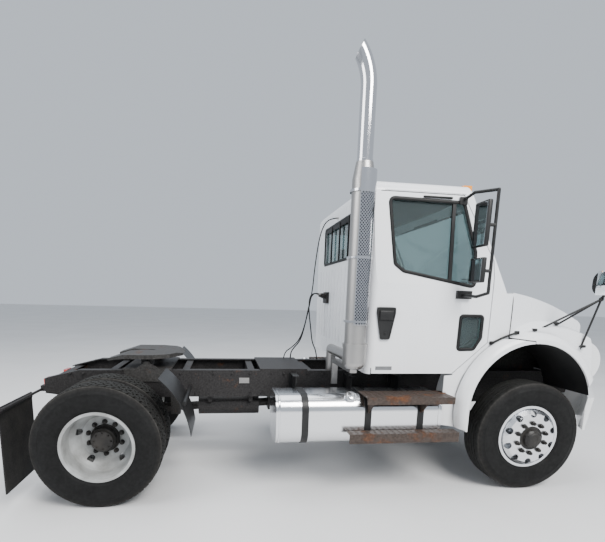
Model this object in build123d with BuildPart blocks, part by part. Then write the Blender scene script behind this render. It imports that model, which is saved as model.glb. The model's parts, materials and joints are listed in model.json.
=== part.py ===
# Two-axle road tractor with a day cab, a tilting bonnet with built-in wings, twin rear tyres,
# a fifth wheel coupling and one upright exhaust behind the cab on the right.
# Frame: +X to the front of the truck, +Y to its left, +Z up, z = 0 on the ground.
# The origin is on the ground below the middle of the truck's overall box. All sizes are in mm.
import os
from math import cos, radians, sin, sqrt, tan

from build123d import *

os.makedirs("parts", exist_ok=True)

# Driving dimensions of the chassis
wheelbase = 3860.0
front_overhang = 1014.0
rear_overhang = 710.0
rear_axle_x = (rear_overhang - front_overhang - wheelbase) / 2
front_axle_x = rear_axle_x + wheelbase

frame_width = 864.0
rail_top = 1030.0
rail_depth = 265.0
rail_flange = 89.0
rail_web = 9.0
rail_bottom = rail_top - rail_depth
rail_y = frame_width / 2
web_y = rail_y - rail_web
tail_taper = 310.0
tail_top_drop = 79.0
tail_bottom_rise = 45.0
rail_rear_x = rear_axle_x - 650.0
rail_front_x = front_axle_x + 850.0

# Wheels and tyres
tyre_radius = 520.0
tyre_width = 279.0
edge_radius = tyre_radius - 5.0
shoulder_radius = tyre_radius - 28.0
bulge_radius = 400.0
bead_radius = 286.0
bead_half = 104.5
flange_radius = 298.0
rim_half = 117.0
rim_inner_radius = 268.0
front_track = 2066.0
rear_width = 2440.0
dual_spacing = 343.0
front_wheel_y = front_track / 2
rear_outer_y = (rear_width - tyre_width) / 2
rear_inner_y = rear_outer_y - dual_spacing
rear_disc_y = rear_outer_y - dual_spacing / 2
axle_z = tyre_radius
seat_gap = 0.08
front_disc_outset = 157.0
disc_thick = 14.0
hand_hole_circle = 229.0
hand_hole_radius = 31.0
hub_radius = 110.0
drum_radius = 205.0
drum_wall = 22.0

# Steering
kingpin_y = 850.0
kingpin_radius = 22.0
arm_back = 230.0
arm_drop = 96.0

# Cab: its height is given floor by floor, its width by the half width at the doors
cab_back_x = front_axle_x - 1610.0
cab_half = 1095.0
cab_sill = 1110.0
cab_belt = 1900.0
cab_gutter = 2660.0
roof_rise = 130.0
roof_crown = cab_gutter + roof_rise
cab_wall = 55.0
pillar_y = cab_half - 110.0
cowl_side_x = front_axle_x - 286.0
cowl_middle_x = front_axle_x - 206.0
cowl_top = 1837.0
screen_side_x = front_axle_x - 350.0
screen_middle_x = front_axle_x - 240.0
screen_rake = 25.9
door_gap = 8.0
glass_depth = 18.0
glass_thickness = 6.0

# Bonnet and wings
wing_half = cab_half + 120.0
wing_flush = cab_half + 8.0
hood_skin = 14.0
hood_gap = 10.0
hood_bottom = 950.0
hinge_x = front_axle_x + 915.0
hinge_z = 960.0
arch_x = -60.0
arch_z = 800.0
arch_radius = 605.0
liner_thick = 14.0
wheelhouse_y = 600.0

# Tanks and steps outside the rails
tank_outer = cab_half + 70.0
tank_inner = tank_outer - 520.0
tank_low = 480.0
tank_high = 925.0
tank_round = 140.0
strap_width = 60.0
strap_thick = 5.0
step_half = cab_half + 195.0


def save(part, name):
    part.label = name
    export_step(part, f"parts/{name}.step")


def from_front(dx):
    """x of a place given ahead of the front axle."""
    return front_axle_x + dx


def from_rear(dx):
    """x of a place given ahead of the rear axle."""
    return rear_axle_x + dx


def box_at(x0, x1, y0, y1, z0, z1, mode=Mode.ADD):
    """A block between two corners."""
    with Locations(((x0 + x1) / 2, (y0 + y1) / 2, (z0 + z1) / 2)):
        Box(abs(x1 - x0), abs(y1 - y0), abs(z1 - z0), mode=mode)


def side_prism(points, y0, y1, mode=Mode.ADD):
    """A side outline of (x, z) points carried across from y0 to y1."""
    with BuildSketch(Plane.XZ.offset(-min(y0, y1))) as profile:
        with BuildLine():
            Polyline(*points, close=True)
        make_face()
    extrude(profile.sketch, amount=-abs(y1 - y0), mode=mode)


def plan_prism(points, z0, z1, mode=Mode.ADD):
    """A plan outline of (x, y) points carried up from z0 to z1."""
    with BuildSketch(Plane.XY.offset(z0)) as profile:
        with BuildLine():
            Polyline(*points, close=True)
        make_face()
    extrude(profile.sketch, amount=z1 - z0, mode=mode)


def cross_rod(x, z, y0, y1, radius, mode=Mode.ADD):
    """A round rod across the truck."""
    with BuildSketch(Plane.XZ.offset(-min(y0, y1))) as profile:
        with Locations((x, z)):
            Circle(radius)
    extrude(profile.sketch, amount=-abs(y1 - y0), mode=mode)


def long_rod(y, z, x0, x1, radius, mode=Mode.ADD):
    """A round rod along the truck."""
    with BuildSketch(Plane.YZ.offset(min(x0, x1))) as profile:
        with Locations((y, z)):
            Circle(radius)
    extrude(profile.sketch, amount=abs(x1 - x0), mode=mode)


def rod_between(start, end, radius):
    """A round rod from one point to another."""
    a = Vector(*start)
    b = Vector(*end)
    with BuildSketch(Plane(origin=a, z_dir=(b - a))) as profile:
        Circle(radius)
    extrude(profile.sketch, amount=(b - a).length)


def slab(x0, x1, y0, y1, z0, z1):
    with BuildPart() as block:
        box_at(x0, x1, y0, y1, z0, z1)
    return block.part


SIDES = ((1, "left"), (-1, "right"))

# Frame rails: two channels, open inwards, tapered at the tail under the trailer's nose
with BuildPart() as rails:
    for side, _ in SIDES:
        outer = side * rail_y
        inner = side * (rail_y - rail_flange)
        with BuildSketch(Plane.XZ.offset(-min(outer, inner))):
            with BuildLine():
                Polyline(
                    (rail_rear_x, rail_bottom + tail_bottom_rise),
                    (rail_rear_x, rail_top - tail_top_drop),
                    (rail_rear_x + tail_taper, rail_top),
                    (rail_front_x, rail_top),
                    (rail_front_x, rail_bottom),
                    (rail_rear_x + tail_taper, rail_bottom),
                    close=True,
                )
            make_face()
        extrude(amount=-rail_flange)
        with BuildSketch(Plane.XZ.offset(-min(side * web_y, inner))):
            with BuildLine():
                Polyline(
                    (rail_rear_x - 1, rail_bottom + tail_bottom_rise + rail_web),
                    (rail_rear_x - 1, rail_top - tail_top_drop - rail_web),
                    (rail_rear_x + tail_taper, rail_top - rail_web),
                    (rail_front_x + 1, rail_top - rail_web),
                    (rail_front_x + 1, rail_bottom + rail_web),
                    (rail_rear_x + tail_taper, rail_bottom + rail_web),
                    close=True,
                )
            make_face()
        extrude(amount=-(rail_flange - rail_web), mode=Mode.SUBTRACT)
save(rails.part, "frame_rails")

# Cross members: channels between the rails' webs, each with a lightening hole
member_half = web_y
member_top = rail_top - rail_web - 6.0
member_bottom = rail_bottom + rail_web + 6.0
member_flange = 70.0
member_web = 8.0
member_x = (
    from_rear(-560.0),
    from_rear(-60.0),
    from_rear(640.0),
    from_rear(1300.0),
    from_rear(1900.0),
    from_front(790.0),
)
with BuildPart() as members:
    for x in member_x:
        low = member_bottom + (40.0 if x < rail_rear_x + tail_taper else 0.0)
        high = member_top - (60.0 if x < rail_rear_x + tail_taper else 0.0)
        middle = (low + high) / 2
        with Locations((x, 0, middle)):
            Box(member_flange, 2 * member_half, high - low)
        with Locations((x + member_web, 0, middle)):
            Box(member_flange, 2 * member_half + 2, high - low - 2 * member_web, mode=Mode.SUBTRACT)
        with BuildSketch(Plane.YZ.offset(x - member_flange / 2 - 1)):
            for y in (-220.0, 0.0, 220.0):
                with Locations((y, middle)):
                    Circle(38.0)
        extrude(amount=member_web + 2, mode=Mode.SUBTRACT)
save(members.part, "crossmembers")

# Front axle: a dropped beam with an upright boss at each end for the kingpin
beam_thick = 100.0
beam_low = 402.0
beam_high = 500.0
boss_radius = 44.0
boss_low = axle_z - 60.0
boss_high = axle_z + 60.0
beam_end = kingpin_y - 34.0
with BuildPart() as front_axle:
    with BuildSketch(Plane.YZ.offset(front_axle_x - beam_thick / 2)):
        with BuildLine():
            Polyline(
                (-beam_end, axle_z - 45), (-680, beam_low), (680, beam_low), (beam_end, axle_z - 45),
                (beam_end, axle_z + 45), (680, beam_high), (-680, beam_high), (-beam_end, axle_z + 45),
                close=True,
            )
        make_face()
    extrude(amount=beam_thick)
    for x in (front_axle_x - beam_thick / 2, front_axle_x + beam_thick / 2):
        with Locations((x, 0, (beam_low + beam_high) / 2)):
            Box(60, 2 * 600, 62, mode=Mode.SUBTRACT)
    for side, _ in SIDES:
        with Locations((front_axle_x, side * kingpin_y, axle_z)):
            Cylinder(boss_radius, boss_high - boss_low)
    for side, _ in SIDES:
        with Locations((front_axle_x, side * kingpin_y, axle_z)):
            Cylinder(kingpin_radius + seat_gap, 200, mode=Mode.SUBTRACT)
save(front_axle.part, "front_axle")

# Steering knuckles: a fork round the axle's boss, the spindle and the steering arm
spindle_radius = 40.0
spindle_end_y = front_wheel_y + 120.0
cheek_y = kingpin_y + 66.0
fork_gap = 1.0
fork_thick = 36.0
fork_radius = 46.0
arm_z = axle_z - arm_drop
arm_thick = 30.0
for side, label in SIDES:
    with BuildPart() as knuckle:
        with Locations((front_axle_x, side * kingpin_y, axle_z)):
            Cylinder(kingpin_radius, boss_high - boss_low + 2 * fork_gap + 2)
        for up in (1, -1):
            z = axle_z + up * (boss_high - axle_z + fork_gap + fork_thick / 2)
            with Locations((front_axle_x, side * kingpin_y, z)):
                Cylinder(fork_radius, fork_thick)
            with Locations((front_axle_x, side * (kingpin_y + 40), z)):
                Box(80, 80, fork_thick)
        with Locations((front_axle_x, side * cheek_y, axle_z)):
            Box(90, 30, boss_high - boss_low + 2 * fork_gap + 2 * fork_thick)
        with BuildSketch(Plane.XZ.offset(-side * cheek_y)):
            with Locations((front_axle_x, axle_z)):
                Circle(spindle_radius)
        extrude(amount=-side * (spindle_end_y - cheek_y))
        with Locations((front_axle_x - arm_back / 2, side * kingpin_y, arm_z)):
            Box(arm_back, 40, arm_thick)
        with Locations((front_axle_x - arm_back, side * kingpin_y, arm_z)):
            Cylinder(28, arm_thick)
    save(knuckle.part, f"knuckle_{label}")

# Tie rod: joins the two steering arms from below
tie_radius = 20.0
tie_z = arm_z - arm_thick / 2 - seat_gap - tie_radius - 6.0
with BuildPart() as tie_rod:
    with BuildSketch(Plane.XZ.offset(kingpin_y)):
        with Locations((front_axle_x - arm_back, tie_z)):
            Circle(tie_radius)
    extrude(amount=-2 * kingpin_y)
    for side, _ in SIDES:
        with Locations((front_axle_x - arm_back, side * kingpin_y, tie_z + 3)):
            Cylinder(30, 2 * tie_radius + 6)
save(tie_rod.part, "tie_rod")


def tyre_outline(y):
    """Half section of a tyre centred at y: bead, sidewall bulge, shoulder and crown."""
    half = tyre_width / 2
    with BuildLine() as line:
        Polyline(
            (bead_radius, y - bead_half), (flange_radius + 1, y - bead_half), (flange_radius + 4, y - rim_half + 2),
        )
        ThreePointArc((flange_radius + 4, y - rim_half + 2), (bulge_radius, y - half), (shoulder_radius, y - half + 13))
        ThreePointArc(
            (shoulder_radius, y - half + 13), (edge_radius - 6, y - half + 19), (edge_radius, y - half + 32)
        )
        ThreePointArc((edge_radius, y - half + 32), (tyre_radius, y), (edge_radius, y + half - 32))
        ThreePointArc(
            (edge_radius, y + half - 32), (edge_radius - 6, y + half - 19), (shoulder_radius, y + half - 13)
        )
        ThreePointArc((shoulder_radius, y + half - 13), (bulge_radius, y + half), (flange_radius + 4, y + rim_half - 2))
        Polyline(
            (flange_radius + 4, y + rim_half - 2), (flange_radius + 1, y + bead_half), (bead_radius, y + bead_half),
            (bead_radius, y - bead_half),
        )
    return line.line


def wheel_plane(x):
    return Plane(origin=(x, 0, axle_z), x_dir=(1, 0, 0), z_dir=(0, 0, 1))


def wheel_axis(x):
    return Axis((x, 0, axle_z), (0, 1, 0))

for side, label in SIDES:
    # Front tyre
    y = side * front_wheel_y
    with BuildPart() as tyre:
        with BuildSketch(wheel_plane(front_axle_x)):
            with BuildLine():
                add(tyre_outline(y))
            make_face()
        revolve(axis=wheel_axis(front_axle_x))
    save(tyre.part, f"front_tyre_{label}")

    # Front wheel: rim, a disc that bulges outwards with ten hand holes, hub and drum in one
    face_y = y + side * front_disc_outset
    with BuildPart() as wheel:
        with BuildSketch(wheel_plane(front_axle_x)):
            with BuildLine():
                Polyline(
                    (bead_radius - seat_gap, y - side * bead_half),
                    (flange_radius, y - side * (bead_half + seat_gap)),
                    (flange_radius, y - side * rim_half),
                    (rim_inner_radius + 6, y - side * rim_half),
                    (rim_inner_radius, y - side * (rim_half - 30)),
                    (rim_inner_radius, y + side * 46),
                    (258, y + side * 72),
                    (232, face_y - side * disc_thick),
                    (hub_radius - 4, face_y - side * disc_thick),
                    (hub_radius - 4, face_y),
                    (235, face_y),
                    (262, face_y - side * 30),
                    (270, y + side * 95),
                    (rim_inner_radius + 6, y + side * rim_half),
                    (flange_radius, y + side * rim_half),
                    (flange_radius, y + side * (bead_half + seat_gap)),
                    (bead_radius - seat_gap, y + side * bead_half),
                    close=True,
                )
            make_face()
            with BuildLine():
                Polyline(
                    (spindle_radius + seat_gap, spindle_end_y * side - side * 160),
                    (spindle_radius + seat_gap, spindle_end_y * side + side * 6),
                    (0, spindle_end_y * side + side * 6),
                    (0, face_y + side * 46),
                    (62, face_y + side * 46),
                    (78, face_y + side * 30),
                    (84, face_y - side * 2),
                    (hub_radius, face_y - side * 2),
                    (hub_radius, face_y - side * 30),
                    (drum_radius, face_y - side * 60),
                    (drum_radius, y - side * 70),
                    (drum_radius - drum_wall, y - side * 70),
                    (drum_radius - drum_wall, face_y - side * 84),
                    (86, face_y - side * 84),
                    (86, spindle_end_y * side - side * 160),
                    close=True,
                )
            make_face()
        revolve(axis=wheel_axis(front_axle_x))
        with BuildSketch(Plane.XZ.offset(-y)):
            with Locations((front_axle_x, axle_z)):
                with PolarLocations(hand_hole_circle, 10, 18):
                    Circle(hand_hole_radius)
        extrude(amount=-side * 200, mode=Mode.SUBTRACT)
    save(wheel.part, f"front_wheel_{label}")

    # Rear tyres: a pair on one hub
    with BuildPart() as tyres:
        for y in (side * rear_outer_y, side * rear_inner_y):
            with BuildSketch(wheel_plane(rear_axle_x)):
                with BuildLine():
                    add(tyre_outline(y))
                make_face()
            revolve(axis=wheel_axis(rear_axle_x))
    save(tyres.part, f"rear_tyres_{label}")

    # Rear wheels: two rims back to back, with their hub and drum
    tube_radius = 60.0
    disc_y = side * rear_disc_y
    with BuildPart() as wheels:
        with BuildSketch(wheel_plane(rear_axle_x)):
            for y, out in ((side * rear_outer_y, side), (side * rear_inner_y, -side)):
                with BuildLine():
                    Polyline(
                        (bead_radius - seat_gap, y + out * bead_half),
                        (flange_radius, y + out * (bead_half + seat_gap)),
                        (flange_radius, y + out * rim_half),
                        (rim_inner_radius + 6, y + out * rim_half),
                        (rim_inner_radius, y + out * (rim_half - 30)),
                        (rim_inner_radius, y - out * 50),
                        (256, y - out * 80),
                        (200, disc_y + out * 11),
                        (120, disc_y + out * 11),
                        (120, disc_y),
                        (204, disc_y),
                        (262, y - out * 98),
                        (rim_inner_radius + 6, y - out * rim_half),
                        (flange_radius, y - out * rim_half),
                        (flange_radius, y - out * (bead_half + seat_gap)),
                        (bead_radius - seat_gap, y - out * bead_half),
                        close=True,
                    )
                make_face()
            with BuildLine():
                Polyline(
                    (tube_radius + seat_gap, disc_y - side * 250),
                    (tube_radius + seat_gap, disc_y + side * 60),
                    (0, disc_y + side * 60),
                    (0, disc_y + side * 118),
                    (84, disc_y + side * 118),
                    (92, disc_y + side * 104),
                    (100, disc_y + side * 30),
                    (122, disc_y + side * 20),
                    (165, disc_y - side * 11),
                    (165, disc_y - side * 30),
                    (drum_radius, disc_y - side * 36),
                    (drum_radius, disc_y - side * 230),
                    (drum_radius - drum_wall, disc_y - side * 230),
                    (drum_radius - drum_wall, disc_y - side * 60),
                    (100, disc_y - side * 60),
                    (100, disc_y - side * 250),
                    close=True,
                )
            make_face()
        revolve(axis=wheel_axis(rear_axle_x))
        with BuildSketch(Plane.XZ.offset(-disc_y + side * 60)):
            with Locations((rear_axle_x, axle_z)):
                with PolarLocations(222, 5, 20):
                    Circle(30)
        extrude(amount=-side * 120, mode=Mode.SUBTRACT)
    save(wheels.part, f"rear_wheels_{label}")

# Rear axle: housing with its bowl, tubes and pinion nose
with BuildPart() as rear_axle:
    with BuildSketch(wheel_plane(rear_axle_x)):
        with BuildLine():
            Polyline(
                (0, -(rear_disc_y + 50)), (tube_radius, -(rear_disc_y + 50)), (tube_radius, -560),
                (78, -540), (78, -300), (150, -170), (205, -90), (205, 90), (150, 170), (78, 300),
                (78, 540), (tube_radius, 560), (tube_radius, rear_disc_y + 50), (0, rear_disc_y + 50),
                close=True,
            )
        make_face()
    revolve(axis=wheel_axis(rear_axle_x))
    pinion_plane = Plane(origin=(rear_axle_x, 0, axle_z + 20), z_dir=(1, 0, 0.04))
    with BuildSketch(pinion_plane):
        Circle(120)
    extrude(amount=330, taper=8)
    with BuildSketch(pinion_plane.offset(330)):
        Circle(52)
    extrude(amount=70)
save(rear_axle.part, "rear_axle")

# Front springs: a stack of three curved leaves on each side, with their hangers
leaf_y = rail_y - 45.0
leaf_width = 76.0
leaf_half_length = 640.0
leaf_rise = 96.0
leaf_total = 54.0
with BuildPart() as front_springs:
    for side, _ in SIDES:
        y = side * leaf_y
        with BuildSketch(Plane.XZ.offset(-(y - leaf_width / 2))):
            with BuildLine():
                low_mid = (front_axle_x, beam_high)
                low_a = (front_axle_x - leaf_half_length, beam_high + leaf_rise)
                low_b = (front_axle_x + leaf_half_length, beam_high + leaf_rise)
                high_mid = (front_axle_x, beam_high + leaf_total)
                high_a = (front_axle_x - leaf_half_length, beam_high + leaf_rise + 18)
                high_b = (front_axle_x + leaf_half_length, beam_high + leaf_rise + 18)
                ThreePointArc(low_a, low_mid, low_b)
                Line(low_b, high_b)
                ThreePointArc(high_b, high_mid, high_a)
                Line(high_a, low_a)
            make_face()
        extrude(amount=-leaf_width)
        for end in (-1, 1):
            x = front_axle_x + end * (leaf_half_length + 12)
            z = beam_high + leaf_rise + 9
            cross_rod(x, z, y - leaf_width / 2, y + leaf_width / 2, 32)
            box_at(x - 30, x + 30, y - leaf_width / 2, y + leaf_width / 2, z + 10, rail_bottom)

# Rear suspension: a trailing leaf under each rail, its front hanger, the axle seat and an air bag
arm_y = rail_y - 45.0
arm_width = 90.0
arm_low = axle_z + 79.0
arm_high = arm_low + 44.0
bag_x = from_rear(-230.0)
bag_radius = 118.0
with BuildPart() as rear_springs:
    for side, _ in SIDES:
        y0 = side * arm_y - arm_width / 2
        y1 = side * arm_y + arm_width / 2
        side_prism(
            (
                (bag_x - 110, arm_low), (from_rear(120), arm_low), (from_rear(540), arm_low + 20),
                (from_rear(540), arm_high + 26), (from_rear(120), arm_high), (bag_x - 110, arm_high),
            ),
            y0, y1,
        )
        box_at(from_rear(500), from_rear(590), y0, y1, arm_low - 10, rail_bottom)
        box_at(from_rear(-75), from_rear(75), y0, y1, axle_z + 40, arm_low)
        cross_rod(rear_axle_x, axle_z, y0, y1, 100)
        cross_rod(rear_axle_x, axle_z, y0 - 5, y1 + 5, 78 + seat_gap, mode=Mode.SUBTRACT)
suspension = Compound(children=[*front_springs.part.solids(), *rear_springs.part.solids()])
save(suspension, "suspension")

with BuildPart() as air_bags:
    for side, _ in SIDES:
        for z, radius, height in (
            (arm_high, 80, 20), (arm_high + 20, bag_radius, 46),
            (arm_high + 66, bag_radius - 16, 10), (arm_high + 76, bag_radius, 46),
        ):
            with Locations((bag_x, side * arm_y, z + height / 2)):
                Cylinder(radius, height)
save(air_bags.part, "air_bags")

# Drive shaft in two lengths with a bearing between them
shaft_radius = 45.0
carrier_x = from_rear(1535.0)
carrier_z = 607.0
gearbox_rear_x = from_rear(2430.0)
gearbox_z = 640.0
pinion_end = (rear_axle_x + 400.0, axle_z + 20.0 + 400.0 * 0.04)
with BuildPart() as drive_shaft:
    for start, end in ((pinion_end, (carrier_x, carrier_z)), ((carrier_x, carrier_z), (gearbox_rear_x + 8, gearbox_z))):
        dx = end[0] - start[0]
        dz = end[1] - start[1]
        with BuildSketch(Plane(origin=(start[0], 0, start[1]), z_dir=(dx, 0, dz))):
            Circle(shaft_radius)
        extrude(amount=sqrt(dx * dx + dz * dz))
    with Locations((carrier_x, 0, carrier_z)):
        Box(70, 150, 150)
    box_at(carrier_x - 25, carrier_x + 25, -75, 75, carrier_z, 790)
    box_at(carrier_x - 30, carrier_x + 30, -web_y, web_y, 790, 810)
save(drive_shaft.part, "drive_shaft")

# Engine and gearbox as plain blocks at their real places
engine_rear_x = from_front(-180.0)
engine_front_x = from_front(640.0)
with BuildPart() as engine:
    box_at(engine_rear_x, engine_front_x, -290, 290, 640, 1540)
    fillet(engine.edges().filter_by(Axis.X), 60)
    for x in (engine_rear_x + 150, engine_front_x - 150):
        box_at(x - 60, x + 60, -web_y, web_y, 860, 940)
    box_at(gearbox_rear_x + 260, engine_rear_x, -215, 215, 520, 960)
    box_at(gearbox_rear_x + 12, gearbox_rear_x + 260, -110, 110, 560, 780)
save(engine.part, "engine_and_gearbox")

with BuildPart() as radiator:
    box_at(from_front(700.0), from_front(800.0), -420, 420, 1040, 1500)
    box_at(from_front(660.0), from_front(700.0), -330, 330, 1080, 1440)
    box_at(from_front(720.0), from_front(780.0), -(rail_y - 1), rail_y - 1, rail_top, 1040)
save(radiator.part, "radiator")

# Fuel tanks: rounded tanks slung outside the rails, the same on both sides, each with a filler cap
tank_rear_x = from_rear(1460.0)
tank_front_x = from_rear(2960.0)
tank_y = (tank_inner + tank_outer) / 2
tank_z = (tank_low + tank_high) / 2
strap_x = (from_rear(1712.0), from_rear(2272.0), from_rear(2758.0))
cap_radius = 52.0
cap_length = 110.0
with BuildPart() as tanks:
    for side, _ in SIDES:
        box_at(tank_rear_x, tank_front_x, side * tank_inner, side * tank_outer, tank_low, tank_high)
    fillet(tanks.edges().filter_by(Axis.X), tank_round)
    for side, _ in SIDES:
        with Locations(Location((from_rear(2119.0), side * (tank_outer - 80), tank_high - 45), (-side * 42, 0, 0))):
            Cylinder(cap_radius, cap_length)
save(tanks.part, "fuel_tanks")

# Straps round each tank and a flanged bracket behind each strap, bolted to the rail's web
with BuildPart() as straps:
    for side, _ in SIDES:
        for x in strap_x:
            with BuildSketch(Plane.YZ.offset(x - strap_width / 2)):
                with Locations((side * tank_y, tank_z)):
                    RectangleRounded(
                        tank_outer - tank_inner + 2 * strap_thick, tank_high - tank_low + 2 * strap_thick,
                        tank_round + strap_thick,
                    )
                    RectangleRounded(
                        tank_outer - tank_inner, tank_high - tank_low, tank_round, mode=Mode.SUBTRACT,
                    )
            extrude(amount=strap_width)
            strap_y = tank_inner - strap_thick
            box_at(x - 6, x + 6, side * rail_y, side * strap_y, tank_low + tank_round, rail_top - 20)
            box_at(x - 40, x + 40, side * rail_y, side * (rail_y + 10), rail_bottom + 15, rail_top - 20)
            box_at(
                x - 30, x + 30, side * (strap_y - 10), side * strap_y, tank_low + tank_round, tank_high - tank_round,
            )
            box_at(x - 30, x + 30, side * rail_y, side * strap_y, rail_top - 30, rail_top - 20)
save(straps.part, "tank_straps")

# Steps below each door: a tread plate on the tank and a channel under it, both held by gussets
plate_low = tank_high + strap_thick
plate_high = plate_low + 8.0
lip_low = plate_low - 52.0
channel_low = 536.0
channel_high = 620.0
step_thick = 12.0
upper_step = (from_rear(2219.0), from_rear(3009.0))
lower_step = (from_rear(2079.0), from_rear(3077.0))
with BuildPart() as tank_skin:
    for side, _ in SIDES:
        box_at(
            tank_rear_x - 50, tank_front_x + 50, side * (tank_inner - strap_thick), side * (tank_outer + strap_thick),
            tank_low - strap_thick, tank_high + strap_thick,
        )
    fillet(tank_skin.edges().filter_by(Axis.X), tank_round + strap_thick)
gusset_spans = ((plate_low - 150, plate_low, tank_outer - 165), (channel_low, channel_high, tank_outer))
with BuildPart() as steps:
    for side, _ in SIDES:
        box_at(upper_step[0], upper_step[1], side * (tank_outer - 165), side * step_half, plate_low, plate_high)
        box_at(upper_step[0], upper_step[1], side * (step_half - step_thick), side * step_half, lip_low, plate_high)
        box_at(lower_step[0], lower_step[1], side * (tank_outer + 10), side * step_half, channel_high - 8, channel_high)
        box_at(
            lower_step[0], lower_step[1], side * (step_half - step_thick), side * step_half, channel_low, channel_high,
        )
        for x in strap_x[1:]:
            for low, high, y_in in gusset_spans:
                with BuildSketch(Plane.YZ.offset(x - step_thick / 2)) as gusset:
                    with BuildLine():
                        Polyline(
                            (side * y_in, low), (side * (tank_outer + strap_thick + 20), low),
                            (side * step_half, high - 50), (side * step_half, high), (side * y_in, high),
                            close=True,
                        )
                    make_face()
                extrude(gusset.sketch, amount=step_thick)
save(steps.part - tank_skin.part, "side_steps")

# Air tanks and battery box between the rails
with BuildPart() as air_tanks:
    for side, _ in SIDES:
        long_rod(side * 235, 640, from_rear(760), from_rear(1380), 100)
        for x in (from_rear(880), from_rear(1290)):
            box_at(x - 20, x + 20, side * 200, side * (rail_y - rail_flange + 40), 700, rail_bottom)
save(air_tanks.part, "air_tanks")

with BuildPart() as battery:
    box_at(from_rear(1400), from_rear(1840), -(rail_y - rail_flange), rail_y - rail_flange, 815, 1040)
    box_at(from_rear(1380), from_rear(1860), -rail_y, rail_y, rail_top, 1046)
save(battery.part, "battery_box")

# Exhaust on the right behind the cab: a silencer on a post, fed by a pipe from the engine
stack_x = from_rear(2135.0)
stack_y = -(cab_half + 5.0)
pipe_radius = 63.5
pipe_wall = 3.0
dome_radius = 101.6
band_radius = 106.0
body_radius = 92.0
dome_low = 1157.0
band_low = 1350.0
band_high = 1380.0
body_high = 2700.0
cone_high = 2830.0
feed_radius = 50.0
feed_high = 1240.0
feed_low = 880.0
feed_y = -285.0
post_half = 30.0
with BuildPart() as muffler:
    with BuildSketch(Plane((stack_x, stack_y, dome_low))):
        Circle(dome_radius)
    extrude(amount=band_low - dome_low)
    fillet(muffler.edges().group_by(Axis.Z)[0], 60)
    with BuildSketch(Plane((stack_x, stack_y, band_low))):
        Circle(band_radius)
    extrude(amount=band_high - band_low)
    with BuildSketch(Plane((stack_x, stack_y, band_high))):
        Circle(body_radius)
    extrude(amount=body_high - band_high)
    with Locations((stack_x, stack_y, body_high)):
        Cone(body_radius, pipe_radius + 6, cone_high - body_high, align=(Align.CENTER, Align.CENTER, Align.MIN))
    feed = (
        (stack_x, stack_y, feed_high), (stack_x, feed_y, feed_high), (stack_x, feed_y, feed_low),
        (engine_rear_x, feed_y, feed_low),
    )
    for start, end in zip(feed, feed[1:]):
        rod_between(start, end, feed_radius)
    for corner in feed[1:-1]:
        with Locations(corner):
            Sphere(feed_radius)
    box_at(stack_x - post_half, stack_x + post_half, -rail_y, stack_y, dome_low - 37, dome_low)
    box_at(stack_x - post_half, stack_x + post_half, -rail_y, -(rail_y + 40), 900, dome_low)
save(muffler.part, "muffler")

# Heat shield: half a tube in front of the silencer, on three rings, with two arms to the cab's back wall
shield_radius = 104.0
shield_thick = 2.5
shield_low = 1540.0
shield_high = 2770.0
shield_start = -118.0
shield_sweep = 180.0
ring_height = 20.0
arm_y_in = stack_y + 140.0
arm_y_out = stack_y + 100.0
with BuildPart() as shield:
    with BuildSketch(Plane((stack_x, stack_y, shield_low))):
        Circle(shield_radius)
        Circle(shield_radius - shield_thick, mode=Mode.SUBTRACT)
        with Locations(Location((0, 0, 0), (0, 0, shield_start + shield_sweep))):
            Rectangle(300, 300, align=(Align.CENTER, Align.MIN), mode=Mode.SUBTRACT)
    extrude(amount=shield_high - shield_low)
    for z in (1560.0, 2080.0, 2600.0):
        with BuildSketch(Plane((stack_x, stack_y, z))):
            Circle(shield_radius - 1)
            Circle(body_radius - 0.5, mode=Mode.SUBTRACT)
        extrude(amount=ring_height)
    for z in (2080.0, 2600.0):
        box_at(stack_x - 20, stack_x + 20, stack_y + body_radius + 4, arm_y_in, z, z + ring_height)
        box_at(stack_x - 20, cab_back_x, arm_y_out, arm_y_in, z, z + ring_height)
save(shield.part - muffler.part, "heat_shield")

# Upper pipe: straight, then bent to the back and cut off at a slant
tip_start = 3370.0
tip_bend = 450.0
tip_angle = 48.0
cut_low = (stack_x - 115.3, 3563.0)
cut_high = (stack_x - 56.6, 3700.0)
with BuildPart() as stack_tip:
    with BuildLine():
        Line((stack_x, stack_y, cone_high), (stack_x, stack_y, tip_start))
        ThreePointArc(
            *[
                (
                    stack_x - tip_bend * (1 - cos(radians(turn))), stack_y,
                    tip_start + tip_bend * sin(radians(turn)),
                )
                for turn in (0.0, tip_angle / 2, tip_angle)
            ]
        )
    with BuildSketch(Plane((stack_x, stack_y, cone_high))):
        Circle(pipe_radius)
        Circle(pipe_radius - pipe_wall, mode=Mode.SUBTRACT)
    sweep()
with BuildPart() as tip_cut:
    run = (cut_high[0] - cut_low[0], cut_high[1] - cut_low[1])
    with BuildSketch(Plane(origin=(cut_low[0], stack_y, cut_low[1]), z_dir=(-run[1], 0, run[0]))):
        Circle(400)
    extrude(amount=400)
save(stack_tip.part - tip_cut.part, "stack_pipe")

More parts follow.
